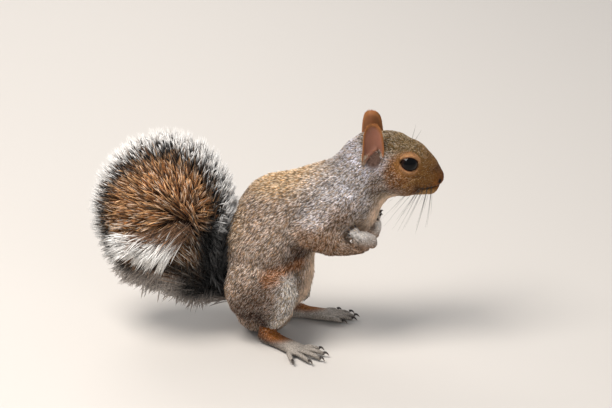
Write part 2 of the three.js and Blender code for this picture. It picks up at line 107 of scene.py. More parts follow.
def linear(colour):
    """An sRGB hex value as linear red, green and blue."""
    srgb = np.array([int(colour[i : i + 2], 16) / 255 for i in (1, 3, 5)])
    return np.where(srgb <= 0.04045, srgb / 12.92, ((srgb + 0.055) / 1.055) ** 2.4)


def towards(colour, other, share):
    """A linear colour drawn towards an sRGB hex value, by a share from 0 to 1."""
    return colour + (linear(other) - colour) * share


def varied(count, swing):
    """A random lightness round 1 for each of so many tufts."""
    return np.exp(rng.normal(0, swing, (count, 1)))


# ---- meshes
def added(name, data):
    piece = bpy.data.objects.new(name, data)
    bpy.context.scene.collection.objects.link(piece)
    return piece


def mesh_of(name, points, faces):
    """An object from points in millimetres and an array of triangles or quads."""
    faces = np.asarray(faces, dtype=np.int32)
    corners = faces.shape[1]
    mesh = bpy.data.meshes.new(name)
    mesh.vertices.add(len(points))
    mesh.vertices.foreach_set("co", (points * MM + HOME).astype(np.float32).ravel())
    mesh.loops.add(faces.size)
    mesh.loops.foreach_set("vertex_index", faces.ravel())
    mesh.polygons.add(len(faces))
    mesh.polygons.foreach_set("loop_start", np.arange(0, faces.size, corners, dtype=np.int32))
    mesh.update(calc_edges=True)
    mesh.shade_smooth()
    return added(name, mesh)


def each_point(piece, field):
    """A field of every point of a mesh, such as its place in metres, as rows of three."""
    flat = np.empty(len(piece.data.vertices) * 3, np.float32)
    piece.data.vertices.foreach_get(field, flat)
    return flat.reshape(-1, 3).astype(float)


def points_of(piece):
    return (each_point(piece, "co") - HOME) / MM


def normals_of(piece):
    return each_point(piece, "normal")


def move_points(piece, points):
    piece.data.vertices.foreach_set("co", (points * MM + HOME).astype(np.float32).ravel())
    piece.data.update()


def grown(piece, by):
    move_points(piece, points_of(piece) + normals_of(piece) * np.reshape(by, (-1, 1)))


def colour_points(piece, colours):
    layer = piece.data.color_attributes.new("Coat", "FLOAT_COLOR", "POINT")
    values = np.ones((len(colours), 4), np.float32)
    values[:, :3] = colours
    layer.data.foreach_set("color", values.ravel())


def select(pieces):
    """Selects the pieces and nothing else, with the first one active."""
    bpy.ops.object.select_all(action="DESELECT")
    for piece in pieces:
        piece.select_set(True)
    bpy.context.view_layer.objects.active = pieces[0]


def modified(piece, kind, **settings):
    """Adds a modifier and applies it."""
    modifier = piece.modifiers.new(kind.title(), kind)
    for key, value in settings.items():
        setattr(modifier, key, value)
    select([piece])
    bpy.ops.object.modifier_apply(modifier=modifier.name)


def remeshed(piece, voxel, factor=0.0, rounds=0):
    """Makes one even surface of the piece and smooths it."""
    modified(piece, "REMESH", mode="VOXEL", voxel_size=voxel * MM)
    if rounds:
        modified(piece, "SMOOTH", factor=factor, iterations=rounds)


def joined(pieces):
    select(pieces)
    bpy.ops.object.join()
    return pieces[0]


def merged_copy(name, nodes):
    """The CAD nodes' copies as one mesh, with the loose triangles' corners merged."""
    whole = bmesh.new()
    for node in nodes:
        whole.from_mesh(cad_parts[node].data)
    bmesh.ops.remove_doubles(whole, verts=whole.verts, dist=0.01 * MM)
    mesh = bpy.data.meshes.new(name)
    whole.to_mesh(mesh)
    whole.free()
    return added(name, mesh)


def ball(centre, radius):
    place = np.asarray(centre) * MM + HOME
    bpy.ops.object.select_all(action="DESELECT")
    bpy.ops.mesh.primitive_ico_sphere_add(subdivisions=3, radius=radius * MM, location=place)
    bpy.ops.object.transform_apply(location=True, rotation=True, scale=True)
    return bpy.context.object


def unit_sphere(name, segments, rings):
    """A sphere of radius 1, and its points."""
    bpy.ops.object.select_all(action="DESELECT")
    bpy.ops.mesh.primitive_uv_sphere_add(segments=segments, ring_count=rings, radius=1)
    piece = bpy.context.object
    piece.name = name
    return piece, each_point(piece, "co")


# ---- the coat's stretches and markings
# Each stretch runs along the lie of its hair: group, start, end, girth, hair length at its start
# and end, lift in degrees, colour, and how strongly the hairs are ticked.
STRETCHES = [
    ("head", (147, 0, 139), (130, 0, 145), 10, 1.2, 2.0, 14, "muzzle", 0.3),
    ("head", (132, 0, 135), (100, 0, 137), 10, 2.0, 4.0, 14, "cheek", 0.6),
    ("head", (130, 0, 146), (102, 0, 150), 18, 2.6, 4.2, 14, "face", 0.8),
    ("head", (122, 0, 156), (92, 0, 162), 15, 3.2, 5.0, 15, "crown", 1.0),
    ("neck", (90, 0, 150), (72, 0, 130), 23, 4.6, 6.0, 16, "nape", 1.0),
    ("neck", (72, 0, 128), (48, 0, 112), 31, 6.5, 7.5, 18, "shoulder", 0.9),
    ("neck", (94, 0, 132), (76, 0, 100), 15, 6.0, 7.5, 20, "cream", 0.25),
    ("back", (48, 0, 112), (18, 5, 92), 36, 7.5, 8.5, 17, "back", 0.9),
    ("back", (18, 5, 92), (4, 10, 56), 36, 8.0, 8.5, 17, "back", 0.9),
    ("rump", (4, 10, 56), (-4, 13, 16), 30, 8.5, 8.0, 17, "rump", 0.85),
    ("rump", (66, 0, 92), (34, 8, 26), 16, 9.0, 12.0, 22, "cream", 0.3),
    ("arms", (64, -20, 120), (42, -29, 98), 14, 7.0, 6.0, 16, "arm", 0.85),
    ("arms", (64, 20, 119), (44, 29, 97), 14, 7.0, 6.0, 16, "arm", 0.85),
    ("arms", (44, -28, 96), (88, -18, 86), 8, 5.5, 3.0, 13, "arm", 0.7),
    ("arms", (47, 28, 95), (90, 15, 82), 8, 5.5, 3.0, 13, "arm", 0.7),
    ("arms", (90, -18, 90), (74, -26, 99), 5, 2.4, 1.6, 12, "hand", 0.35),
    ("arms", (92, 14, 86), (96, 8, 101), 5, 2.4, 1.6, 12, "hand", 0.35),
    ("legs", (24, -28, 62), (-8, -20, 24), 18, 7.5, 7.0, 17, "thigh", 0.9),
    ("legs", (30, 36, 56), (4, 36, 22), 16, 7.5, 7.0, 17, "thigh", 0.9),
    ("legs", (19, -29, 54), (7, -18, 14), 11, 6.0, 3.6, 15, "shank", 0.55),
    ("legs", (34, 35, 46), (25, 38, 12), 10, 6.0, 3.6, 15, "shank", 0.55),
    ("legs", (3, -12, 8), (46, -46, 4), 7, 2.4, 1.6, 12, "foot", 0.3),
    ("legs", (17, 40, 8), (74, 31, 4), 7, 2.4, 1.6, 12, "foot", 0.3),
]
# Groups of stretches, each a piece of its own: tufts per square millimetre, their width, and slot.
GROUPS = {
    "head": (4.2, 0.52, "coat_head"),
    "neck": (3.6, 0.53, "coat_body"),
    "back": (3.0, 0.57, "coat_body"),
    "rump": (3.0, 0.58, "coat_body"),
    "arms": (3.4, 0.55, "coat_limbs"),
    "legs": (3.2, 0.56, "coat_limbs"),
}
DENSITY, WIDTH, _ = (np.array(column) for column in zip(*GROUPS.values()))
PALETTE = {
    "muzzle": "#703c18",
    "cheek": "#764a1d",
    "face": "#80582a",
    "crown": "#6f5a39",
    "nape": "#c3bfc4",
    "shoulder": "#9e938a",
    "back": "#b8a391",
    "olive": "#cdae85",
    "rump": "#b59c88",
    "thigh": "#6d5544",
    "shank": "#cbc2b8",
    "foot": "#aca196",
    "arm": "#8a6545",
    "hand": "#e2ded9",
    "cream": "#e3c8af",
    "silver": "#e0dddf",
    "rust": "#a9620c",
    "umber": "#3e200d",
    "orange": "#955923",
    "ring": "#a2703f",
    "painted_shade_slate": "#4c463f",
    # Painted shade: slate darkens the feet at the floor and the gaps between the near hand's fingers.
    "painted_shade_black": "#120b08",
    # Painted shade: night blackens the nostrils' hollows and the mouth's crease.
    "concha": "#5d4234",
    "fawn": "#b58c58",
    "pale": "#bda98f",
    "ash": "#816e5d",
}
LIP = [(143, 1.5, 132.8), (139, 5, 132), (132, 7.5, 131.4), (126, 9.5, 133)]
# Blots: colour, middle, radii, softness, strength, side; one on both sides is given on the left.
BLOTS = [
    ("olive", (14, 0, 140), (42, 26, 15), 0.5, 0.85, "both"),
    ("olive", (-22, 8, 108), (12, 22, 24), 0.6, 0.5, "both"),
    ("silver", (58, 20, 134), (22, 20, 13), 0.7, 0.5, "both"),
    ("silver", (42, 34, 116), (13, 12, 8), 0.8, 0.6, "both"),
    ("cheek", (110, 18, 148), (12.5, 14, 14), 0.35, 0.95, "both"),
    ("crown", (106, 6, 170), (20, 16, 9), 0.5, 0.9, "both"),
    ("ash", (94, 18, 138), (8, 12, 13), 0.5, 0.8, "both"),
    ("pale", (99, 17, 131), (8, 10, 4), 0.7, 0.5, "both"),
    ("ring", (118, 18, 155.2), (11.8, 8, 10.4), 0.3, 0.85, "both"),
    ("umber", (138, 5, 147.5), (7, 5, 2.6), 0.9, 0.6, "both"),
    ("umber", (124.5, 12, 133.5), (2.6, 6, 4.2), 0.8, 0.75, "both"),
    ("fawn", (131, 4, 126), (12, 8, 4.2), 0.4, 0.8, "both"),
    ("cream", (114, 0, 122), (16, 8, 6), 0.5, 0.8, "both"),
    ("orange", (141, 5, 134.5), (4, 5, 4.5), 0.6, 0.5, "both"),
    # Painted shade in the nostrils' hollows.
    ("painted_shade_black", (142.9, 3.9, 137.0), (1.9, 2.6, 2.9), 0.35, 1.0, "both"),
    ("concha", (90, 17, 161), (8, 9, 9), 0.35, 0.95, "both"),
    # Darker fur and painted shade under the elbows, where the arms meet the thighs.
    ("umber", (34, -28, 80), (13, 14, 11), 0.7, 1.0, "right"),
    ("umber", (36, 30, 78), (12, 14, 10), 0.7, 0.9, "left"),
    # Darker fur and painted shade low on the haunches, under the body by the floor.
    ("umber", (-3, -28, 17), (20, 20, 20), 0.7, 1.0, "right"),
    ("umber", (6, 44, 14), (16, 14, 17), 0.7, 0.9, "left"),
    # Painted shade in the hollow of the far hand's curled fingers.
    ("umber", (89, 6, 90), (3.5, 4, 4), 0.6, 0.8, "left"),
    ("orange", (14, -20, 12), (18, 14, 6), 0.4, 0.95, "right"),
    ("orange", (38, 38, 12), (18, 10, 6), 0.4, 0.95, "left"),
    # Painted shadow: the feet darkened where they meet the floor.
    ("painted_shade_slate", (40, -46, 1), (18, 18, 3), 0.7, 0.7, "right"),
    ("painted_shade_slate", (66, 32, 1), (18, 18, 3), 0.7, 0.7, "left"),
]
DEPTHLESS = np.array([1, 0.3, 1])  # a stripe runs over the skin however far out that is
# Stripes: colour, line, half-width, strength, side; one on both sides is given on the left.
STRIPES = [
    ("rust", [(6, -38, 64), (20, -36, 68), (34, -30, 72)], 5.5, 0.75, "right"),
    ("rust", [(12, 42, 62), (26, 38, 67), (36, 32, 70)], 6.5, 0.55, "left"),
    ("shank", [(26, -34, 58), (22.5, -34, 48), (20, -32, 36), (16, -26, 23)], 7.0, 1.0, "right"),
    ("shank", [(38, 38, 52), (35, 38, 42), (32, 37, 32), (28, 37, 21)], 7.0, 1.0, "left"),
    ("umber", [(44, -34, 86), (62, -30, 80), (86, -21, 78), (92, -16, 81)], 4.2, 0.75, "right"),
    # Painted shade in the gaps between the near hand's fingers.
    ("painted_shade_slate", [(73, -30, 99), (78, -28, 92)], 0.9, 0.7, "right"),
    ("painted_shade_slate", [(76.5, -30, 99.5), (81, -27, 93)], 0.8, 0.6, "right"),
    ("umber", [(48, 34, 84), (66, 28, 78), (86, 19, 75)], 4.0, 0.6, "left"),
    # Painted shade along the crease of the mouth.
    ("painted_shade_black", LIP, 1.0, 0.85, "both"),
    ("umber", [(134, 9, 142), (122, 15, 145.5)], 1.0, 0.5, "both"),
    ("umber", [(102, 18, 134.5), (90, 18, 134.5)], 1.6, 0.5, "both"),
    ("fawn", [(113.5, 17, 136.8), (123, 14, 142.4)], 1.4, 0.6, "both"),
]
BELLY = [(104, 0, 126), (90, 0, 112), (80, 0, 98), (62, 2, 80), (46, 5, 54), (38, 8, 34), (26, 10, 14)]
BELLY_LIMITS = ("arms", "legs", "head")  # the belly's cream stops short of these groups


def along_and_off(points, start, end):
    """How far along a stretch each point is, 0 to 1, and its distance from it."""
    start, run = np.array(start, float), np.subtract(end, start).astype(float)
    t = np.clip((points - start) @ run / (run @ run), 0, 1)
    return t, np.linalg.norm(points - start - t[:, None] * run, axis=1)


def shares(points):
    """Each stretch's share in each point, and the place along it."""
    places, weights = [], []
    for _, start, end, girth, *_ in STRETCHES:
        t, off = along_and_off(points, start, end)
        places.append(t)
        weights.append(np.exp(-np.clip(off - girth, -4, 200) / 3.2))
    weights = np.array(weights)
    return np.array(places), weights / weights.sum(axis=0)


def from_line(points, line):
    return np.min([along_and_off(points, a, b)[1] for a, b in zip(line, line[1:])], axis=0)


def coat_at(points):
    """The coat's colour, ticking, length, lift, lie and group at each point."""
    places, weights = shares(points)
    groups, starts, stops, _, first, last, lifts, names, ticked = zip(*STRETCHES)
    tint = np.array([linear(PALETTE[name]) for name in names])
    long = np.array(first)[:, None] * (1 - places) + np.array(last)[:, None] * places
    lie = unit(np.subtract(stops, starts).astype(float))
    colour = weights.T @ tint
    ticking = weights.T @ np.array(ticked, float)
    belly = ease(23, 14, from_line(points, BELLY))
    belly *= ease(0.8, 0.45, weights[np.isin(groups, BELLY_LIMITS)].sum(axis=0))
    colour = towards(colour, PALETTE["cream"], belly[:, None])
    ticking = ticking + (0.2 - ticking) * belly
    left = on_left(points)
    marks = []
    for name, middle, radii, softness, strength, side in BLOTS:
        reach = off_centre(left if side == "both" else points, middle, radii)
        marks.append((name, strength * ease(1 + softness, 1 - softness, reach)))
    for name, line, half, strength, side in STRIPES:
        seen = (left if side == "both" else points) * DEPTHLESS
        reach = from_line(seen, np.array(line) * DEPTHLESS) / half
        mask = strength * ease(1.7, 0.3, reach)
        if side != "both":
            mask = mask * ease(-2, 6, points[:, 1] * SIDES[side])
        marks.append((name, mask))
    for name, mask in marks:
        colour = towards(colour, PALETTE[name], mask[:, None])
    share = np.array([weights[np.isin(groups, name)].sum(axis=0) for name in GROUPS])
    return {
        "colour": colour,
        "ticking": ticking,
        "long": np.sum(weights * long, axis=0),
        "lift": weights.T @ np.array(lifts, float),
        "lie": unit(weights.T @ lie),
        "group": share.argmax(axis=0),
        "belly": belly,
    }


# ---- the skin
CLOSE = 2.4  # grown by this to close the thin cuts between the solids, then shrunk back
FLESH = ["head", "neck", "trunk"] + [
    f"{part}_{side}" for side in SIDES for part in ("thigh", "shank", "upper_arm", "forearm")
]
ENDS = [f"{part}_{side}" for side in SIDES for part in ("foot", "hand")]
END_DEPTH = 0.45  # the skin of hands and feet under their short hair
# Balls that fill the wrists and ankles where the shrunk skins would part: middle and radius.
JOINTS = [
    ((6, -17, 13), 6.5),
    ((24, 38, 11), 6.3),
    ((89, -18, 88.5), 4.6),
    ((84, -20.6, 89.4), 4.4),
    ((80, -22.4, 91), 3.8),
    ((76.5, -24, 92.4), 3.6),
    ((91, 14.5, 84), 4.6),
]
# Hollows of the nose, on the left: middle, radii and depth.
NOSTRILS = [((142.6, 4.2, 137.6), (1.3, 1.6, 1.7), 1.5), ((141.2, 4.8, 136.2), (1.4, 1.6, 0.9), 0.8)]
CHIN = ((137, 0, 126.5), (6.5, 6.5, 4.5))
CHIN_BULGE = 2.6  # makes good what the smoothing takes
CLEFT = [(145, 0, 137), (142.5, 0, 131.5)]


def skin_depth(points):
    """How far under the hair tips the skin lies."""
    return 0.3 + 0.24 * coat_at(points)["long"]


def dents(points, normals):
    """The nostrils, the mouth, the cleft under the nose and the chin."""
    depth = np.zeros(len(points))
    for sign in SIDES.values():
        for middle, radii, deep in NOSTRILS:
            depth += deep * bell(off_centre(points, sided(middle, sign), radii))
        lip = from_line(points * DEPTHLESS, sided(np.array(LIP) * DEPTHLESS, sign))
        depth += 1.1 * bell(lip / 0.9)
    depth -= CHIN_BULGE * bell(off_centre(points, *CHIN))
    depth += 0.6 * bell(from_line(points, CLEFT) / 0.8)
    return points - normals * depth[:, None]


body = merged_copy("skin", FLESH)
grown(body, CLOSE)
remeshed(body, 1.5, 0.6, 10)
grown(body, -CLOSE - skin_depth(points_of(body)))
ends = merged_copy("ends", ENDS)
remeshed(ends, 0.8)
grown(ends, -END_DEPTH)
skin = joined([body, ends] + [ball(centre, radius) for centre, radius in JOINTS])
remeshed(skin, 1.0, 0.5, 4)
move_points(skin, dents(points_of(skin), normals_of(skin)))
skin.data.shade_smooth()


# ---- ears
EAR_MIDDLE = (89.6, 16.4, 171.2)
EAR_TALL = 36.0
EAR_LEAN = 8  # degrees that the tip leans inwards
EAR_TURN = 12  # degrees that the opening turns forwards
EAR_CUP = 3.4
# Half the ear's width at heights from its root, -1, to its tip, 1.
EAR_WIDTH = [(-1, 7.2), (-0.8, 8.2), (-0.5, 8.9), (-0.1, 8.8), (0.25, 8.3), (0.5, 7.7)]
EAR_WIDTH += [(0.7, 6.8), (0.86, 5.2), (0.94, 3.8), (0.98, 2.2), (1, 0)]
# Folds of the ear's inside: height, width, and a line of places across and up it, -1 to 1.
EAR_FOLDS = [
    (1.5, 0.13, [(-0.75, -0.75), (-0.35, -0.45), (0.3, -0.2)]),
    (-1.6, 0.12, [(0.1, -0.85), (0.05, -0.55), (0.45, -0.38)]),
    (1.3, 0.15, [(0.55, -0.9), (0.6, -0.6)]),
]


def ear_place(sign, x, y, z):
    """Leans the ear's tip in a little and turns its opening forwards."""
    tip, turn = math.radians(sign * EAR_LEAN), math.radians(-sign * EAR_TURN)
    y, z = y * math.cos(tip) - z * math.sin(tip), y * math.sin(tip) + z * math.cos(tip)
    x, y = x * math.cos(turn) - y * math.sin(turn), x * math.sin(turn) + y * math.cos(turn)
    return np.stack([x, y, z], axis=1) + sided(EAR_MIDDLE, sign)


def ear(side):
    """A cupped leaf with a rolled rim and folds inside, deep at its root, open to the side."""
    sign = SIDES[side]
    piece, sphere = unit_sphere(f"ear_{side}", 72, 56)
    a, b, c = sphere.T
    r = np.hypot(a, c)
    rim = bell((r - 0.9) / 0.09)
    root = ease(-0.1, -0.9, c)
    height, half_wide = np.array(EAR_WIDTH).T
    across = a / np.sqrt(np.maximum(1 - c * c, 0.02))
    x = across * np.interp(c, height, half_wide) - 1.2 * root
    flatter = 1 - 0.9 * ease(0.72, 1.0, c)
    cup = EAR_CUP * (across * across - 0.5) * flatter + 1.2 * c * c
    cup = cup - 1.2 * root * (1 - r * r) - 3.4 * ease(-0.5, -1.0, c)
    leaf = np.stack([across, np.zeros(len(a)), c], axis=1)
    fold = np.zeros(len(a))
    for rise, wide, line in EAR_FOLDS:
        fold += rise * bell(from_line(leaf, [(u, 0, v) for u, v in line]) / wide)
    inner = ease(0.97, 0.8, r) * (b > 0)
    thick = b * (0.7 + 0.4 * rim + 0.6 * root) + (b > 0) * 0.5 * rim
    y = sign * (cup + thick + inner * fold)
    move_points(piece, ear_place(sign, x, y, c * EAR_TALL / 2))
    inside = (b > 0) * ease(0.9, 0.8, r)
    colour = towards(linear("#7c4d2c"), "#95614c", inside[:, None])
    # Painted shade: the inside darkens down towards the cup's deep root.
    colour = colour * (1 - 0.3 * ease(0.4, -0.4, c) * inside)[:, None]
    edge = ease(0.78, 0.95, r) * ease(-0.75, -0.4, c)
    colour = towards(colour, "#925c30", edge[:, None])
    # Painted shade in the groove of the inner fold.
    groove = inside * ease(0.2, -1.0, fold)
    colour = towards(colour, "#2a1612", groove[:, None])
    low = 0.8 * ease(-0.45, -0.95, c) * (1 - groove)
    colour = towards(colour, "#a8947c", low[:, None])
    if sign > 0:
        piece.data.flip_normals()
    colour_points(piece, colour)
    return piece


# ---- materials
def node(tree, kind, at, settings=None, links=None):
    """Adds a node at a place, sets what it is given and links its inputs."""
    made = tree.nodes.new(kind)
    made.location = at
    for key, value in (settings or {}).items():
        if key in made.inputs:
            made.inputs[key].default_value = value
        else:
            setattr(made, key, value)
    for key, source in (links or {}).items():
        tree.links.new(source, made.inputs[key])
    return made


def blank(name):
    material = bpy.data.materials.new(name)
    material.use_nodes = True
    material.node_tree.nodes.clear()
    return material, material.node_tree


def shaded(tree, settings, links=None):
    """The surface shader and the material's output."""
    shader = node(tree, "ShaderNodeBsdfPrincipled", (0, 0), settings, links)
    node(tree, "ShaderNodeOutputMaterial", (300, 0), links={"Surface": shader.outputs[0]})


def coloured(name, settings, noise=None, bump=None, flecks=None):
    """A material in the piece's own colours; a fine noise can raise bumps and fleck the colour."""
    material, tree = blank(name)
    colour = node(tree, "ShaderNodeAttribute", (-700, 100), {"attribute_name": "Coat"}).outputs["Color"]
    links = {}
    if noise:
        place = node(tree, "ShaderNodeTexCoord", (-900, -200)).outputs["Object"]
        grain = node(tree, "ShaderNodeTexNoise", (-700, -200), noise, {"Vector": place}).outputs["Fac"]
        raised = node(tree, "ShaderNodeBump", (-250, -250), bump, {"Height": grain})
        links["Normal"] = raised.outputs["Normal"]
    if flecks:
        strength = node(tree, "ShaderNodeMapRange", (-500, -200), flecks, {"Value": grain})
        scaled = {"Vector": colour, "Scale": strength.outputs["Result"]}
        ticked = node(tree, "ShaderNodeVectorMath", (-250, 50), {"operation": "SCALE"}, scaled)
        colour = ticked.outputs["Vector"]
    shaded(tree, settings, {"Base Color": colour, **links})
    return material


def bare_skin(name, roughness):
    """Bare skin: fine-pored, faintly moist, with some light going a little way in."""
    scatter = {"Subsurface Weight": 0.12, "Subsurface Scale": 1.5 * MM}
    return coloured(
        name,
        {"Roughness": roughness, "IOR": 1.42, **scatter},
        noise={"Scale": 1500.0, "Detail": 2.0},
        bump={"Strength": 0.25, "Distance": 0.2 * MM},
    )


# Hair: soft and dry, each shaft with its own colour bands, and a faint pale sheen where light grazes it.
HAIR = coloured(
    "fur hair",
    {"Roughness": 0.6, "IOR": 1.5, "Specular IOR Level": 0.12, "Sheen Weight": 0.06, "Sheen Roughness": 0.5},
)
# Skin under its close fur: the coat's own colours, flecked every millimetre or so by dark and pale tips.
FURRED = coloured(
    "furred skin",
    {"Roughness": 0.75, "IOR": 1.45, "Specular IOR Level": 0.12, "Sheen Weight": 0.05},
    noise={"Scale": 900.0, "Detail": 3.0, "Roughness": 0.6},
    bump={"Strength": 0.5, "Distance": 0.4 * MM},
    flecks={"From Min": 0.35, "From Max": 0.65, "To Min": 0.55, "To Max": 1.25},
)
LID = bare_skin("lid skin", 0.5)
EAR_SKIN = bare_skin("ear skin", 0.55)
# A glass eye: near black with a deep brown iris, and a wet, mirror-clear front.
EYE_GLASS = coloured("eye glass", {"Roughness": 0.05, "IOR": 1.38, "Specular IOR Level": 0.3})
# Horn: smooth and half glossy, dark at the root and paler at the tip. Whiskers have it too.
HORN = coloured("claw horn", {"Roughness": 0.35, "IOR": 1.54})


def dressed(piece, material, slot, *nodes):
    piece.data.materials.clear()
    piece.data.materials.append(material)
    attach(piece, "root")
    if nodes:
        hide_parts(*nodes)
    return piece


# ---- tufts
def frames(way, normal):
    """Two directions square to the way, the second nearest the normal."""
    side = unit(np.cross(way, normal))
    return side, np.cross(side, way)


def spikes(name, spine, widths, normal, colours, where, flat=0.5):
    """One mesh of solid, three-sided tufts, pointed at both ends.

    spine and colours: tufts x stations x 3; widths: tufts x (stations - 2);
    where: each root's place on the skin's unwrap; flat: thickness over width.
    """
    count, stations, _ = spine.shape
    way = unit(np.gradient(spine, axis=1))
    side, up = frames(way, normal[:, None, :])
    half = widths[:, :, None] / 2
    side, up, inner = side[:, 1:-1] * half, up[:, 1:-1] * half * flat, spine[:, 1:-1]
    ring = np.stack([inner + side - up * 0.5, inner - side - up * 0.5, inner + up], axis=2)
    points = np.concatenate([spine[:, :1], ring.reshape(count, -1, 3), spine[:, -1:]], axis=1)
    tip = 3 * (stations - 2) + 1
    faces = []
    for k in range(3):
        a, b = 1 + k, 1 + (k + 1) % 3
        faces.append((0, a, b))
        for s in range(0, 3 * (stations - 3), 3):
            faces += [(a + s, a + s + 3, b + s + 3), (a + s, b + s + 3, b + s)]
        faces.append((tip - 3 + k, tip, tip - 3 + (k + 1) % 3))
    faces = np.array(faces)
    every = (np.arange(count) * (tip + 1))[:, None, None] + faces[None]
    piece = mesh_of(name, points.reshape(-1, 3), every.reshape(-1, 3))
    rings = np.repeat(colours[:, 1:-1], 3, axis=1)
    shade = np.concatenate([colours[:, :1], rings, colours[:, -1:]], axis=1)
    colour_points(piece, shade.reshape(-1, 3))
    bake_map(piece, where, stations, faces)
    return piece


def spread_out(where):
    """Each tuft gets a cell of its own, near its root's place on the unwrap."""
    count = len(where)
    rows = int(math.ceil(math.sqrt(count)))
    order = np.argsort(where[:, 1], kind="stable")
    cells = np.empty((count, 2))
    for row in range(rows):
        members = order[row * count // rows : (row + 1) * count // rows]
        members = members[np.argsort(where[members, 0], kind="stable")]
        cells[members, 0] = (np.arange(len(members)) + 0.5) / max(len(members), 1)
        cells[members, 1] = (row + 0.5) / rows
    return cells


def bake_map(piece, where, stations, faces):
    """A tuft's patch: round the tuft across, root to tip upwards."""
    cells = spread_out(where)
    around = np.concatenate([[0.5], np.tile([0, 0.5, 1.0], stations - 2), [0.5]])
    along = np.concatenate([[0], np.repeat(np.arange(1, stations - 1), 3) / (stations - 1), [1]])
    patch = (np.stack([around, along], axis=1) - 0.5) * UNIT
    uv = (cells[:, None, :] + patch[faces.ravel()][None]).astype(np.float32)
    layer = piece.data.uv_layers.new(name="OFBake")
    layer.data.foreach_set("uv", uv.ravel())


def roots_on(piece, per_mm2, in_order=False):
    """Random places on a piece, as many as the density asks, with the smooth normal there.

    in_order: sorts the triangles first, because Blender makes a sphere's in another order each run.
    """
    mesh = piece.data
    mesh.calc_loop_triangles()
    corners = np.empty(len(mesh.loop_triangles) * 3, np.int32)
    mesh.loop_triangles.foreach_get("vertices", corners)
    corners = corners.reshape(-1, 3)
    if in_order:
        corners = np.sort(corners, axis=1)
        corners = corners[np.lexsort(corners.T[::-1])]
    points, normals = points_of(piece), normals_of(piece)
    a, b, c = (points[corners[:, k]] for k in range(3))
    area = np.linalg.norm(np.cross(b - a, c - a), axis=1) / 2
    wanted = area * per_mm2((a + b + c) / 3)
    counts = np.floor(wanted + rng.random(len(wanted))).astype(int)
    tri = np.repeat(np.arange(len(corners)), counts)
    u, v = rng.random(len(tri)), rng.random(len(tri))
    over = u + v > 1
    u, v = np.where(over, 1 - u, u), np.where(over, 1 - v, v)
    share = np.stack([1 - u - v, u, v], axis=1)[:, :, None]
    picked = corners[tri]
    return (points[picked] * share).sum(axis=1), unit((normals[picked] * share).sum(axis=1))


RIM = 9.2  # from a point before the eyeball's middle to the eye's furred rim
EAR_HOLLOW = ((90, 20, 161), (7.5, 9, 8))
NOSE_PAD = ((145, 0, 138.5), (4, 5, 4.5))
SOLE = 0.8  # no hair grows lower than this
MOST = 33000  # tufts in one piece
SHORT = 2.6  # hair under this length grows denser and finer
# How a fleck's red, green and blue differ from the coat's colour where it is pale, dark or banded.
PALE_HUE, DARK_HUE, BAND_HUE = [0.95, 1.0, 1.12], [1.05, 0.98, 0.9], [1.16, 0.95, 0.7]
# Directions and shifts of the waves that mottle the coat.
WAVES = [((0.5, 0.2, 0.3), 0), ((-0.2, 0.4, 0.6), 2), ((0.7, -0.3, -0.5), 4), ((0.1, 0.8, -0.4), 1)]


def eye_gap(points):
    """Distance outside the rim of the nearer eye's opening, roughly; negative over the eye."""
    return off_centre(on_left(points), EYE + EYE_AXIS * 4, [1, 1, 0.86]) - RIM


def bare(points):
    """Where no tufts grow: the eyes, the nose pad, the ears' hollows and the soles."""
    nose = off_centre(points, *NOSE_PAD) < 1
    hollow = off_centre(on_left(points), *EAR_HOLLOW) < 1
    return (eye_gap(points) < 0) | nose | hollow | (points[:, 2] < SOLE)


def hair_colours(colour, ticking):
    """Each tuft's colours: shaded at the root, then a fleck that is dark, banded or pale."""
    count = len(colour)
    kind = rng.random(count)
    pale, dark = kind < 0.4, kind > 0.66
    swing = rng.normal(0, 0.14, count)
    step = np.where(pale, 0.45 + 0.35 * rng.random(count), np.where(dark, -1.15, -0.05))
    hue = np.where(dark[:, None], DARK_HUE, BAND_HUE)
    hue = np.where(pale[:, None], PALE_HUE, hue)
    fleck = colour * np.exp((swing + step) * ticking)[:, None] * hue ** ticking[:, None]
    silver = (pale * rng.random(count) * 0.4 * ticking)[:, None]
    fleck = towards(fleck, "#ece4d6", silver)
    root = colour * (0.42 + 0.2 * (1 - ticking))[:, None]
    tip = fleck * np.where(dark, 0.8, 1.12)[:, None]
    return np.stack([root, fleck, tip], axis=1)


def mottling(points):
    """Soft patches about a centimetre across, a little lighter and darker."""
    waves = sum(np.sin(points @ np.array(way) + shift) for way, shift in WAVES)
    return np.exp(0.06 * waves)[:, None]


def unwrap_of(points, group):
    """The skin's own unwrap: round and along the group's first stretch."""
    rows = [row for row in STRETCHES if row[0] == group]
    start, end = np.array(rows[0][1], float), np.array(rows[-1][2], float)
    axis = unit(end - start)
    side, up = frames(axis, np.array([0.1, 0.3, 1.0]))
    offset = points - start
    return np.stack([np.arctan2(offset @ side, offset @ up), offset @ axis], axis=1)


def along_skin(way, normals):
    """The part of a direction that runs along the skin."""
    return way - normals * dot(way, normals)


def lay(points, normals, coat):
    """The way each hair lies on the skin, turned aside round the eyes."""
    away = on_left(points) - EYE
    away[:, 1] *= np.sign(points[:, 1])
    near = np.exp(-np.clip(eye_gap(points), 0, 50) / 2.5)[:, None]
    return unit(along_skin(coat["lie"] + unit(away) * near * 1.2, normals))


def coat_density(points):
    coat = coat_at(points)
    wanted = DENSITY[coat["group"]] * np.where(coat["long"] < SHORT, 1.35, 1.0)
    return np.where(bare(points), 0, wanted)


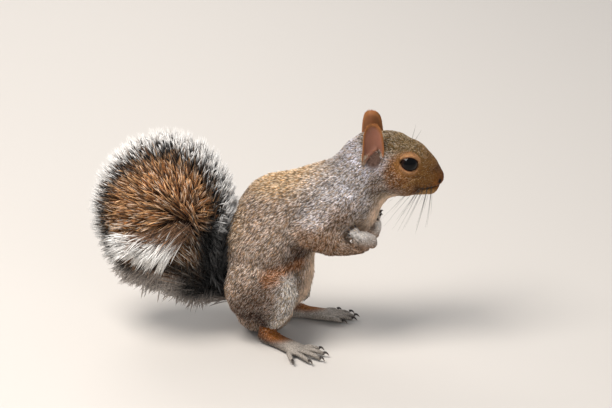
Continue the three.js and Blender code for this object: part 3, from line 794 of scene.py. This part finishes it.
def coat_pieces():
    """The body's tufts, one piece for each group of stretches."""
    points, normals = roots_on(skin, coat_density)
    coat = coat_at(points)
    width = WIDTH[coat["group"]] * np.where(coat["long"] < SHORT, 0.75, 1.0)
    lie = lay(points, normals, coat)
    side = np.cross(normals, lie)
    count = len(points)
    wander = np.radians(rng.normal(0, 11, count))[:, None]
    lie = lie * np.cos(wander) + side * np.sin(wander)
    lift = np.radians(coat["lift"] + rng.normal(0, 5, count))[:, None]
    short = ease(-0.5, 5, eye_gap(points)) * 0.65 + 0.35
    part = 0.4 + 0.32 * rng.random(count) + 0.25 * coat["belly"]
    long = (coat["long"] * part * short)[:, None]
    start = points - normals * 0.35
    half_way = start + long * 0.55 * (lie * np.cos(lift * 1.25) + normals * np.sin(lift * 1.25))
    tip = half_way + long * 0.45 * (lie * np.cos(lift * 0.55) + normals * np.sin(lift * 0.55))
    spine = np.stack([start, half_way, tip], axis=1)
    spine[:, :, 2] = np.maximum(spine[:, :, 2], 0.25)
    widths = width[:, None] * (0.8 + 0.4 * rng.random((count, 1)))
    colours = hair_colours(coat["colour"] * mottling(points), coat["ticking"])
    made = []
    for g, name in enumerate(GROUPS):
        mine = np.flatnonzero(coat["group"] == g)
        if len(mine) > MOST:
            mine = rng.choice(mine, MOST, replace=False)
        tufts = (spine[mine], widths[mine], normals[mine], colours[mine])
        made.append(spikes(f"coat_{name}", *tufts, unwrap_of(points[mine], name), flat=0.55))
    return made


def ear_outside(places, sign):
    """1 on an ear's back and rim, 0 inside."""
    centred = places - sided(EAR_MIDDLE, sign)
    away = centred @ np.array([0.2, sign, 0.1])
    edge = np.hypot(centred[:, 0] / 8, centred[:, 2] / 18)
    return np.maximum(ease(1.5, -0.5, away), ease(0.8, 0.95, edge))


def ear_density(sign):
    def density(places):
        low = ease(166, 156, places[:, 2]) * ease(1.5, 4.5, np.abs(places[:, 0] - EAR_MIDDLE[0]))
        return np.maximum(1.6 * ear_outside(places, sign), 2.2 * low)

    return density


def ear_hairs(ears):
    """Fine short hair on the ears' backs and rims, and longer pale hair round their roots."""
    made = []
    for sign, piece in zip(SIDES.values(), ears):
        points, normals = roots_on(piece, ear_density(sign), in_order=True)
        low = ease(167, 156, points[:, 2])[:, None]
        count = len(points)
        lie = unit(along_skin(np.array([-0.15, 0, 1.0]) + rng.normal(0, 0.12, (count, 3)), normals))
        long = (1.5 + 4.2 * low) * (0.7 + 0.5 * rng.random((count, 1)))
        lift = 0.3 + 0.1 * low
        tips = points + long * (lie + normals * lift)
        control = (points + tips) / 2 + normals * long * 0.08
        spine = curved(points - normals * 0.2, control, tips, (0, 0.55, 1.0))
        tone = towards(linear("#9a6234"), "#a89c8c", low)
        fleck = tone * varied(count, 0.3)
        colours = np.stack([tone * 0.6, fleck, fleck * 1.15], axis=1)
        widths = (0.32 + 0.3 * low) * (0.8 + 0.4 * rng.random((count, 1)))
        where = np.stack([points[:, 0], points[:, 2] + 60 * sign], axis=1)
        made.append((spine, widths, normals, colours, where))
    return spikes("coat_ears", *map(np.concatenate, zip(*made)), flat=0.6)


def lid_hairs(lid_pieces):
    """Very short hair on the lids, combed away from the eye."""
    made = []
    for sign, piece in zip(SIDES.values(), lid_pieces):
        points, normals = roots_on(piece, lambda places: 9.0 * (eye_gap(places) > -2.4))
        count = len(points)
        away = along_skin(points - sided(EYE, sign), normals)
        lie = unit(away + rng.normal(0, 0.6, (count, 3)))
        long = 0.9 + 0.9 * rng.random((count, 1))
        tips = points + long * (lie + normals * 0.16)
        half_way = (points + tips) / 2 + normals * 0.06
        spine = np.stack([points - normals * 0.15, half_way, tips], axis=1)
        tone = linear("#bd8d60") * varied(count, 0.3)
        colours = np.stack([tone * 0.6, tone, tone * 1.2], axis=1)
        widths = 0.2 + 0.1 * rng.random((count, 1))
        where = np.stack([points[:, 0], points[:, 2] + 40 * sign], axis=1)
        made.append((spine, widths, normals, colours, where))
    return spikes("coat_lids", *map(np.concatenate, zip(*made)), flat=0.6)


# ---- the tail
# The tail's bone rises behind the back and curls over; its hairs fan out from it and fill the plume.
BONE = [(-14, 12, 28), (-31, 13, 40), (-38, 14, 66), (-47, 15, 90), (-66, 16, 103)]
BONE += [(-86, 18, 96), (-95, 19, 76)]
TAIL_NODES = ["tail_base", "tail_middle", "tail_tip"]
PLUME_MIDDLE = np.array([-77.0, 15.0, 102.0])
PLUME_YAW = math.radians(-8)
# The plume's own directions: along its disc, square through it, and up.
ACROSS = np.array([math.cos(PLUME_YAW), math.sin(PLUME_YAW), 0])
THROUGH = np.array([-math.sin(PLUME_YAW), math.cos(PLUME_YAW), 0])
RISE = np.array([0, 0, 1.0])
# Where on the bone the hairs root that reach the plume's edge at each angle, up from +X.
FAN = [(-104, 0.16), (-85, 0.12), (-60, 0.06), (-30, 0.18), (0, 0.33), (30, 0.43), (60, 0.51)]
FAN += [(90, 0.59), (120, 0.67), (150, 0.75), (180, 0.83), (210, 0.91), (240, 0.98), (255.9, 1.0)]
LONG_HAIRS = 11000
LOCKS = 900
CURL = np.array([-58, 15, 106])  # the middle of the curl, which the near face's tufts are combed away from
FACE_DENSITY = 0.44
CORE_DEPTH = 13  # of the under-hair below the plume's outline
SWEEP_HAIRS, SWEEP_LOCKS = 1300, 130
FAR = 200  # outside the plume, from its middle


def smooth_line(points, count):
    """Evenly spaced places on a smooth curve through the points."""
    points = np.array(points, float)
    padded = np.vstack([2 * points[0] - points[1], points, 2 * points[-1] - points[-2]])
    fine = []
    for i in range(1, len(padded) - 2):
        p0, p1, p2, p3 = padded[i - 1 : i + 3]
        square, cube = 2 * p0 - 5 * p1 + 4 * p2 - p3, 3 * p1 - p0 - 3 * p2 + p3
        for t in np.linspace(0, 1, 24, endpoint=False):
            fine.append(0.5 * (2 * p1 + (p2 - p0) * t + square * t**2 + cube * t**3))
    fine.append(points[-1])
    fine = np.array(fine)
    run = np.append(0, np.cumsum(np.linalg.norm(np.diff(fine, axis=0), axis=1)))
    even = np.linspace(0, run[-1], count)
    return np.stack([np.interp(even, run, fine[:, k]) for k in range(3)], axis=1)


def tube(name, centres, radii, around):
    """A closed round tube with flat ends; the ends' middles are its last two points."""
    way = unit(np.gradient(centres, axis=0))
    side, up = frames(way, np.array([0.05, 1.0, 0.02]))
    angle = np.linspace(0, 2 * np.pi, around, endpoint=False)[:, None]
    ring = side[:, None] * np.cos(angle) + up[:, None] * np.sin(angle)
    rings = centres[:, None] + ring * np.reshape(radii, (-1, 1, 1))
    points = np.vstack([rings.reshape(-1, 3), centres[:1], centres[-1:]])
    top = around * (len(centres) - 1)
    first, last = top + around, top + around + 1
    faces = []
    for k in range(around):
        after = (k + 1) % around
        faces += [(first, after, k), (last, top + k, top + after)]
        for s in range(0, top, around):
            a, b = s + k, s + after
            faces += [(a, b, b + around), (a, b + around, a + around)]
    return mesh_of(name, points, faces)


def plume_reach(origin, aims):
    """How far the plume's outer surface is from a place inside it, each way."""
    surface = bmesh.new()
    for name in TAIL_NODES:
        surface.from_mesh(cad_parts[name].data)
    tree = BVHTree.FromBMesh(surface)
    surface.free()
    reach = np.empty(len(aims))
    for i, aim in enumerate(aims):
        outside = (origin + aim * FAR) * MM + HOME
        reach[i] = FAR - tree.ray_cast(Vector(outside), Vector(-aim))[3] / MM
    return reach


def bands(spine, warm, kind, wobble):
    """Brown in the plume's middle, then a black band and a white edge; dark and pale tips on its faces."""
    ring = np.radians(np.arange(-180, 181, 5))
    aims = ACROSS * np.cos(ring)[:, None] + RISE * np.sin(ring)[:, None]
    edge = plume_reach(PLUME_MIDDLE, aims)
    offset = spine - PLUME_MIDDLE
    side, high = offset @ ACROSS, offset[..., 2]
    angle = np.arctan2(high, side)
    rho = np.hypot(side, high) / np.interp(angle, ring, edge) + wobble[:, None]
    stations = np.linspace(0, 1, spine.shape[1])[None]
    kind = kind[:, None]
    tone = warm[:, None] * (0.45 + 0.55 * ease(0, 0.4, stations))[..., None]
    low = ease(116, 84, spine[:, -1, 2])[:, None]
    pale = (kind < 0.2 + 0.3 * low) * ease(0.5, 0.85, stations) * (0.45 + 0.5 * low)
    tone = towards(tone, "#e9dfd2", pale[..., None])
    tone = tone * (1 - 0.75 * (kind > 0.74) * ease(0.3, 0.7, stations))[..., None]
    black = ease(0.68, 0.77, rho) * (0.75 + 0.25 * (kind > 0.3))
    tone = towards(tone, "#14100d", black[..., None])
    return towards(tone, "#ebe7e3", ease(0.85, 0.93, rho)[..., None])


def painted_tail_shade_and_ash(colours, spine):
    """Painted shade, nearly black beside the rump, under the curl, in its parting and deep in the curl; and
    ashy grey in the loose hair beneath.
    """
    x, z = spine[..., 0], spine[..., 2]
    tips = spine[:, -1]
    beside = ease(-64, -44, x) * ease(116, 90, z)
    under = ease(-80, -62, x) * ease(68, 58, z)
    parting = bell((z - 64) / 8) * ease(-112, -92, x)
    curl = 0.6 * bell((x + 57) / 15) * bell((z - 98) / 15)
    # Painted shade: beside the rump, under the curl, in the parting and deep in the curl.
    depth = np.maximum.reduce([beside, under, parting, curl])
    colours = colours * (1 - 0.95 * depth)[..., None]
    loose = (ease(62, 48, tips[:, 2]) * ease(-60, -76, tips[:, 0]))[:, None] * ease(64, 50, z)
    hem = 0.75 * ease(40, 30, tips[:, 2])[:, None] * ease(44, 30, z)
    return towards(colours, "#b0a59c", (np.maximum(loose, hem) * 0.8)[..., None])


def curved(root, control, tip, stations):
    t = np.array(stations)[None, :, None]
    return root[:, None] * (1 - t) ** 2 + 2 * t * (1 - t) * control[:, None] + tip[:, None] * t * t


def gathered(tips, strength, locks):
    """Draws the tips together in locks; gives each tuft its lock's number too."""
    hearts = tips[rng.choice(len(tips), locks, replace=False)]
    lock = np.empty(len(tips), int)
    for i in range(0, len(tips), 2000):
        gap = ((tips[i : i + 2000, None] - hearts[None]) ** 2).sum(axis=2)
        lock[i : i + 2000] = gap.argmin(axis=1)
    return tips + (hearts[lock] - tips) * strength[:, None], lock


def warm_browns(count):
    browns = towards(linear("#84522a"), "#cfa274", rng.random((count, 1)) ** 1.4)
    return browns * varied(count, 0.25)


def tail_colours(spine, warm):
    """The plume's bands, painted shade and ashy grey on tufts, a little uneven from tuft to tuft."""
    count = len(spine)
    return painted_tail_shade_and_ash(bands(spine, warm, rng.random(count), rng.normal(0, 0.045, count)), spine)


def tail_hairs():
    """The long hairs, from the bone to the plume's edge all round and over its faces."""
    line = smooth_line(BONE, 200)
    way = unit(np.gradient(line, axis=0))
    count = LONG_HAIRS
    angle = rng.uniform(-104, 256, count)
    rim = rng.random(count) < 0.62
    facing = np.where(rim, rng.normal(0, 0.25, count), rng.uniform(-1, 1, count))
    facing = np.clip(facing, -0.98, 0.98)
    turn = np.radians(angle)
    level = np.sqrt(1 - facing**2)
    aim = ACROSS * (np.cos(turn) * level * 66)[:, None] + RISE * (np.sin(turn) * level * 66)[:, None]
    aim = unit(aim + THROUGH * (facing * 35)[:, None])
    reach = plume_reach(PLUME_MIDDLE, aim) * (1.07 - 0.22 * rng.random(count) ** 0.8)
    tips = PLUME_MIDDLE + aim * reach[:, None]
    tips, lock = gathered(tips, 0.45 - 0.35 * ease(0, -30, angle), LOCKS)
    fan_angle, fan_place = np.array(FAN).T
    place = np.interp(angle, fan_angle, fan_place) + rng.normal(0, 0.035, count)
    place = np.clip(place, 0, 1)
    at = (place * (len(line) - 1)).astype(int)
    root = line[at] + unit(tips - line[at]) * 3 + rng.normal(0, 1.5, (count, 3))
    span = np.linalg.norm(tips - root, axis=1)
    control = root + (tips - root) * 0.45 + way[at] * (0.13 * span)[:, None]
    control += THROUGH * (np.sign(facing) * (0.16 * span * np.abs(facing)))[:, None]
    spine = curved(root, control, tips, (0, 0.5, 0.68, 0.84, 1.0))
    spine[:, :, 2] = np.maximum(spine[:, :, 2], 1.0)
    warm = warm_browns(count) * varied(LOCKS, 0.2)[lock]
    colours = tail_colours(spine, warm)
    widths = (0.75 + 0.5 * rng.random((count, 1))) * np.array([[0.9, 1.0, 0.8]])
    where = np.stack([place + 0.02 * rng.random(count), facing], axis=1)
    normal = THROUGH * np.where(facing < 0, -1, 1)[:, None]
    return spikes("coat_tail_long", spine, widths, normal, colours, where)


def tail_core():
    """The dense under-hair, which fills the plume to a finger's depth under the long hairs' tips."""
    core = merged_copy("tail_core", TAIL_NODES)
    grown(core, CLOSE)
    remeshed(core, 2.5, 0.6, 12)
    grown(core, -CORE_DEPTH - CLOSE)
    remeshed(core, 2.0, 0.5, 8)
    spine = points_of(core)[:, None]
    count = len(spine)
    warm = np.repeat([linear("#5a3820")], count, axis=0)
    colours = bands(spine, warm, np.full(count, 0.5), np.zeros(count))
    colour_points(core, painted_tail_shade_and_ash(colours, spine)[:, 0])
    core.data.shade_smooth()
    return core


def tail_faces(core):
    """Shorter tufts all over the under-hair, combed outwards from the curl and hanging loose beneath."""
    points, normals = roots_on(core, lambda places: np.full(len(places), FACE_DENSITY))
    count = len(points)
    outward = points - CURL
    outward = unit(outward - THROUGH * (outward @ THROUGH)[:, None])
    hang = ease(72, 48, points[:, 2])[:, None]
    near = np.exp(-((points - CURL) ** 2).sum(axis=1) / 300)[:, None]
    tangle = 0.24 + 0.36 * hang + 0.6 * near
    droop = np.array([-0.7, 0, -0.8]) * hang
    lie = unit(outward + droop + rng.normal(0, 1, (count, 3)) * tangle)
    lie = unit(lie - normals * dot(lie, normals) * 0.85)
    rim = 1 - 0.45 * np.abs(dot(outward, normals))
    long = (14 + 7 * rng.random((count, 1))) * (rim + 0.6 * hang * rng.random((count, 1)))
    lift = 0.42 + 0.14 * rng.random((count, 1))
    tips = points + long * (lie * np.sqrt(1 - lift**2) + normals * lift)
    tips, _ = gathered(tips, 0.4 - 0.32 * hang[:, 0], LOCKS)
    tips[:, 2] = np.maximum(tips[:, 2], 1.0)
    control = points + (tips - points) * 0.5 + normals * long * 0.14
    spine = curved(points - normals * 1.5, control, tips, (0, 0.45, 0.75, 1.0))
    colours = tail_colours(spine, warm_browns(count))
    widths = (0.8 + 0.5 * rng.random((count, 1))) * np.array([[0.9, 1.0]])
    where = np.stack([np.arctan2(outward[:, 2], outward[:, 0]), points @ THROUGH], axis=1)
    return spikes("coat_tail_faces", spine, widths, normals, colours, where)


def white_sweep():
    """The white hairs of the tail's end, swept down and back over the plume's near face."""
    count = SWEEP_HAIRS
    t, wide = rng.random(count), rng.random(count)
    root = np.stack([-58 - 36 * t, -15 - 2 * t, 101 - 13 * t], axis=1)
    root = root + rng.normal(0, 3.5, (count, 3))
    tips = np.stack([-80 - 42 * t, -24 + 16 * t, 64 + 14 * t + 10 * wide], axis=1)
    tips = tips + rng.normal(0, 4.5, (count, 3))
    tips, _ = gathered(tips, np.full(count, 0.45), SWEEP_LOCKS)
    control = (root + tips) / 2 + np.array([-2, -6, 4])
    spine = curved(root, control, tips, (0, 0.35, 0.6, 0.8, 1.0))
    whiter = ease(0.2, 0.6, np.linspace(0, 1, 5)[None, :, None])
    colours = towards(linear("#6a4729"), "#e9e6e2", whiter) * varied(count, 0.2)[:, None]
    widths = (0.65 + 0.4 * rng.random((count, 1))) * np.array([[0.9, 1.0, 0.8]])
    normal = np.tile([0.0, -1.0, 0.1], (count, 1))
    return spikes("coat_tail_end", spine, widths, normal, colours, np.stack([t, wide], axis=1))


# ---- eyes, lids, claws, whiskers
# A lid's section: degrees past the opening's edge, distance from the eyeball's middle, colour.
LID_SECTION = [
    (4, 7.6, "#1d100b"),
    (-1.5, 8.05, "#2a1710"),
    (0, 8.6, "#8a5a38"),
    (4, 9.15, "#b28355"),
    (10, 9.45, "#b88c60"),
    (18, 9.4, "#ad7a4a"),
    (28, 8.9, "#94612f"),
    (40, 8.0, "#7c5428"),
]
# Claws: limb, how many, thickness at the root, and how far the tip goes from dark to horn.
CLAWS = [("foot", 5, 1.1, 0.5), ("hand", 4, 0.8, 0.9)]
CLAW_ARCH = np.array([0, 0, 1.3])
# Long hairs over the left eye: root, direction and length.
BROW = [((121, 14, 164), (0.35, 0.5, 0.9), 16), ((123, 13, 163), (0.6, 0.5, 0.8), 14)]
WHISKER_SAG = np.array([-0.10, 0, -0.16])


def eye_frame(sign):
    """Where the eye looks, and the opening's long and high directions."""
    axis = unit(sided(EYE_AXIS, sign))
    tilt = math.radians(OPENING_TILT)
    long = np.array([math.cos(tilt), 0, -math.sin(tilt)])
    long = unit(long - axis * (long @ axis))
    return axis, long, np.cross(long, axis) * -sign


def eyeball(side):
    """A ball with a slight bulge in front, a black pupil, a brown iris and a dark rim."""
    sign = SIDES[side]
    axis, _, _ = eye_frame(sign)
    piece, way = unit_sphere(f"eyeball_{side}", 64, 40)
    front = way @ axis
    bulge = 1 + 0.03 * ease(0.75, 1.0, front)
    move_points(piece, sided(EYE, sign) + way * (EYE_RADIUS * bulge)[:, None])
    colour = towards(linear("#040303"), "#1d0e08", ease(0.80, 0.70, front)[:, None])
    colour_points(piece, towards(colour, "#0b0605", ease(0.62, 0.5, front)[:, None]))
    piece.data.shade_smooth()
    return dressed(piece, EYE_GLASS, "eye", f"eye_{side}")


def lids(side):
    """The rims of both lids, which lie on the eyeball and run out under the coat."""
    sign = SIDES[side]
    axis, long, high = eye_frame(sign)
    around, n = 72, len(LID_SECTION)
    points, faces = [], []
    for k in range(around):
        phi = 2 * math.pi * k / around
        c, s = math.cos(phi), math.sin(phi)
        reach = 1 / math.hypot(c / OPENING[0], s / OPENING[1])
        reach *= 1 + 0.05 * abs(c) ** 12  # an almond: pointed a little at both corners
        open_angle = math.asin(min(reach / EYE_RADIUS, 0.985))
        here, after = k * n, (k + 1) % around * n
        for i, (past, far, _) in enumerate(LID_SECTION):
            angle = open_angle + math.radians(past) * (1 + 0.35 * s * s * (i > 3))
            direction = axis * math.cos(angle) + (long * c + high * s) * math.sin(angle)
            heavy = 1 + 0.02 * max(s, 0) * (2 <= i <= 5)
            points.append(sided(EYE, sign) + direction * far * heavy)
            j = (i + 1) % n
            faces.append((here + i, here + j, after + j, after + i))
    piece = mesh_of(f"lids_{side}", np.array(points), faces)
    colour_points(piece, np.tile([linear(tone) for _, _, tone in LID_SECTION], (around, 1)))
    modified(piece, "SUBSURF", levels=1, render_levels=1)
    bm = bmesh.new()
    bm.from_mesh(piece.data)
    bmesh.ops.recalc_face_normals(bm, faces=bm.faces)
    bm.to_mesh(piece.data)
    bm.free()
    piece.data.shade_smooth()
    return dressed(piece, LID, "coat_head")


def claw_line(name, heart, t):
    """A line along a CAD claw, from inside the digit nearly to the tip; heart is the paw's middle."""
    spots = np.array([v.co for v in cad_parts[name].data.vertices])
    far = np.linalg.norm(spots - heart, axis=1)
    tip = (spots[far.argmax()] - HOME) / MM
    root = (spots[far <= np.percentile(far, 30)].mean(axis=0) - HOME) / MM
    root = root + (root - tip) * 0.25
    tip = tip - (tip - root) * 0.4
    return root + (tip - root) * t[:, None] + CLAW_ARCH * np.sin(np.pi * t)[:, None]


def claws():
    """Each claw: an arched, tapering hook along the CAD claw that it replaces."""
    parts, names = [], []
    t, around = np.linspace(0, 1, 9), 8
    for limb, digits, thick, horn in CLAWS:
        rows = towards(linear("#2b211b"), "#8d7c6b", ease(0.5, 1.0, t)[:, None] * horn)
        shade = np.vstack([np.repeat(rows, around, axis=0), rows[:1], rows[-1:]])
        for side in SIDES:
            heart = middle_of(f"{limb}_{side}")
            for digit in range(1, digits + 1):
                name = f"claw_{limb}_{side}_{digit}"
                radii = thick * (1 - t) ** 0.7 + 0.12
                parts.append(tube(f"part_{name}", claw_line(name, heart, t), radii, around))
                colour_points(parts[-1], shade)
                names.append(name)
    piece = joined(parts)
    piece.name = "claws"
    piece.data.shade_smooth()
    return dressed(piece, HORN, "claw", *names)


def whiskers():
    """Stiff tapering hairs on both sides of the muzzle, in four rows of four, and two over each eye."""
    parts = []
    t = np.linspace(0, 1, 10)
    for sign in SIDES.values():
        hairs = []
        for col in range(4):
            for row in range(4):
                root = (136.5 - 2.6 * col, 6.8 + 0.9 * col, 137.5 - 1.7 * row + 0.4 * col)
                droop = -0.35 - 0.28 * row + rng.normal(0, 0.1)
                aim = (-0.15 - 0.22 * col + rng.normal(0, 0.1), 0.75, droop)
                hairs.append((root, aim, 34 + 9 * rng.random() - 3 * (3 - col)))
        for root, aim, long in hairs + BROW:
            line = sided(root, sign) + unit(sided(aim, sign)) * long * t[:, None]
            line = line + WHISKER_SAG * long * t[:, None] ** 2
            part = tube("whisker", line, 0.16 * (1 - t) + 0.03, 5)
            colour_points(part, np.tile(linear("#1d1814"), (len(part.data.vertices), 1)))
            parts.append(part)
    piece = joined(parts)
    piece.name = "whiskers"
    return dressed(piece, HORN, "coat_head")


# ---- put together
ears = [ear(side) for side in SIDES]
under_hair = tail_core()
colour_points(skin, coat_at(points_of(skin))["colour"] * 0.8)  # darker than the coat over it
coats = coat_pieces()
long_hairs, face_tufts, sweep = tail_hairs(), tail_faces(under_hair), white_sweep()
fringe = ear_hairs(ears)
for piece, side in zip(ears, SIDES):
    piece.data.shade_smooth()
    dressed(piece, EAR_SKIN, "ear", f"ear_{side}")
skin = joined([skin, under_hair])
skin.name = "skin"
skin.data.shade_smooth()
dressed(skin, FURRED, "coat_body", *FLESH, *ENDS)
for piece, (_, _, slot) in zip(coats, GROUPS.values()):
    dressed(piece, HAIR, slot)
dressed(fringe, HAIR, "coat_head")
dressed(long_hairs, HAIR, "coat_tail", *TAIL_NODES)
dressed(face_tufts, HAIR, "coat_tail")
dressed(sweep, HAIR, "coat_tail")
for side in SIDES:
    eyeball(side)
dressed(lid_hairs([lids(side) for side in SIDES]), HAIR, "coat_head")
claws()
whiskers()


# ---- stage
# Lights: name, place, size, energy and tint; all shine on the model's middle.
LIGHTS = [
    ("key", (-0.55, -0.35, 1.3), 0.7, 25, (1.0, 0.97, 0.93)),
    ("fill", (0.5, -1.4, 0.7), 0.9, 5, (0.97, 0.98, 1.0)),
    ("rim", (-0.4, 1.1, 0.9), 0.8, 8, (1.0, 0.98, 0.96)),
]
SKY = (0.86, 0.93, 1.0, 1)
SKY_STRENGTH = 0.42
VIEW_TILT = 22  # degrees that the camera looks down
VIEW_TARGET = (36.8, 0, 114.8)
VIEW_DISTANCE = 3.2
SENSOR = 36
FOCAL = 4000 / 612  # focal length in picture widths


def stage():
    """A pale matt floor, a soft sky and three lights."""
    bpy.ops.object.select_all(action="DESELECT")
    bpy.ops.mesh.primitive_plane_add(size=6, location=(0, 0, -0.0002))
    floor = bpy.context.object
    floor.name = "floor"
    material, tree = blank("pale matt floor")
    shaded(tree, {"Base Color": (*linear("#c9c2bb"), 1), "Roughness": 0.9})
    floor.data.materials.append(material)

    world = bpy.data.worlds.new("soft sky")
    world.use_nodes = True
    background = world.node_tree.nodes["Background"]
    background.inputs["Color"].default_value = SKY
    background.inputs["Strength"].default_value = SKY_STRENGTH
    bpy.context.scene.world = world
    for name, place, size, energy, tint in LIGHTS:
        light = bpy.data.lights.new(name, "AREA")
        light.size = size
        light.energy = energy
        light.color = tint
        holder = added(name, light)
        holder.location = place
        holder.visible_glossy = name == "key"
        aim = Vector((0, 0, 0.1)) - Vector(place)
        holder.rotation_euler = aim.to_track_quat("-Z", "Y").to_euler()


def camera():
    """Looks at the right side from above, from afar."""
    tilt = math.radians(VIEW_TILT)
    look = Vector((0, math.cos(tilt), -math.sin(tilt)))
    data = bpy.data.cameras.new("camera")
    data.sensor_width = SENSOR
    data.lens = SENSOR * FOCAL
    data.clip_start, data.clip_end = 0.1, 20
    holder = added("camera", data)
    holder.location = Vector(np.array(VIEW_TARGET) * MM + HOME) - look * VIEW_DISTANCE
    holder.rotation_euler = look.to_track_quat("-Z", "Y").to_euler()
    bpy.context.scene.camera = holder


stage()
camera()
bpy.context.scene.view_settings.view_transform = "Standard"
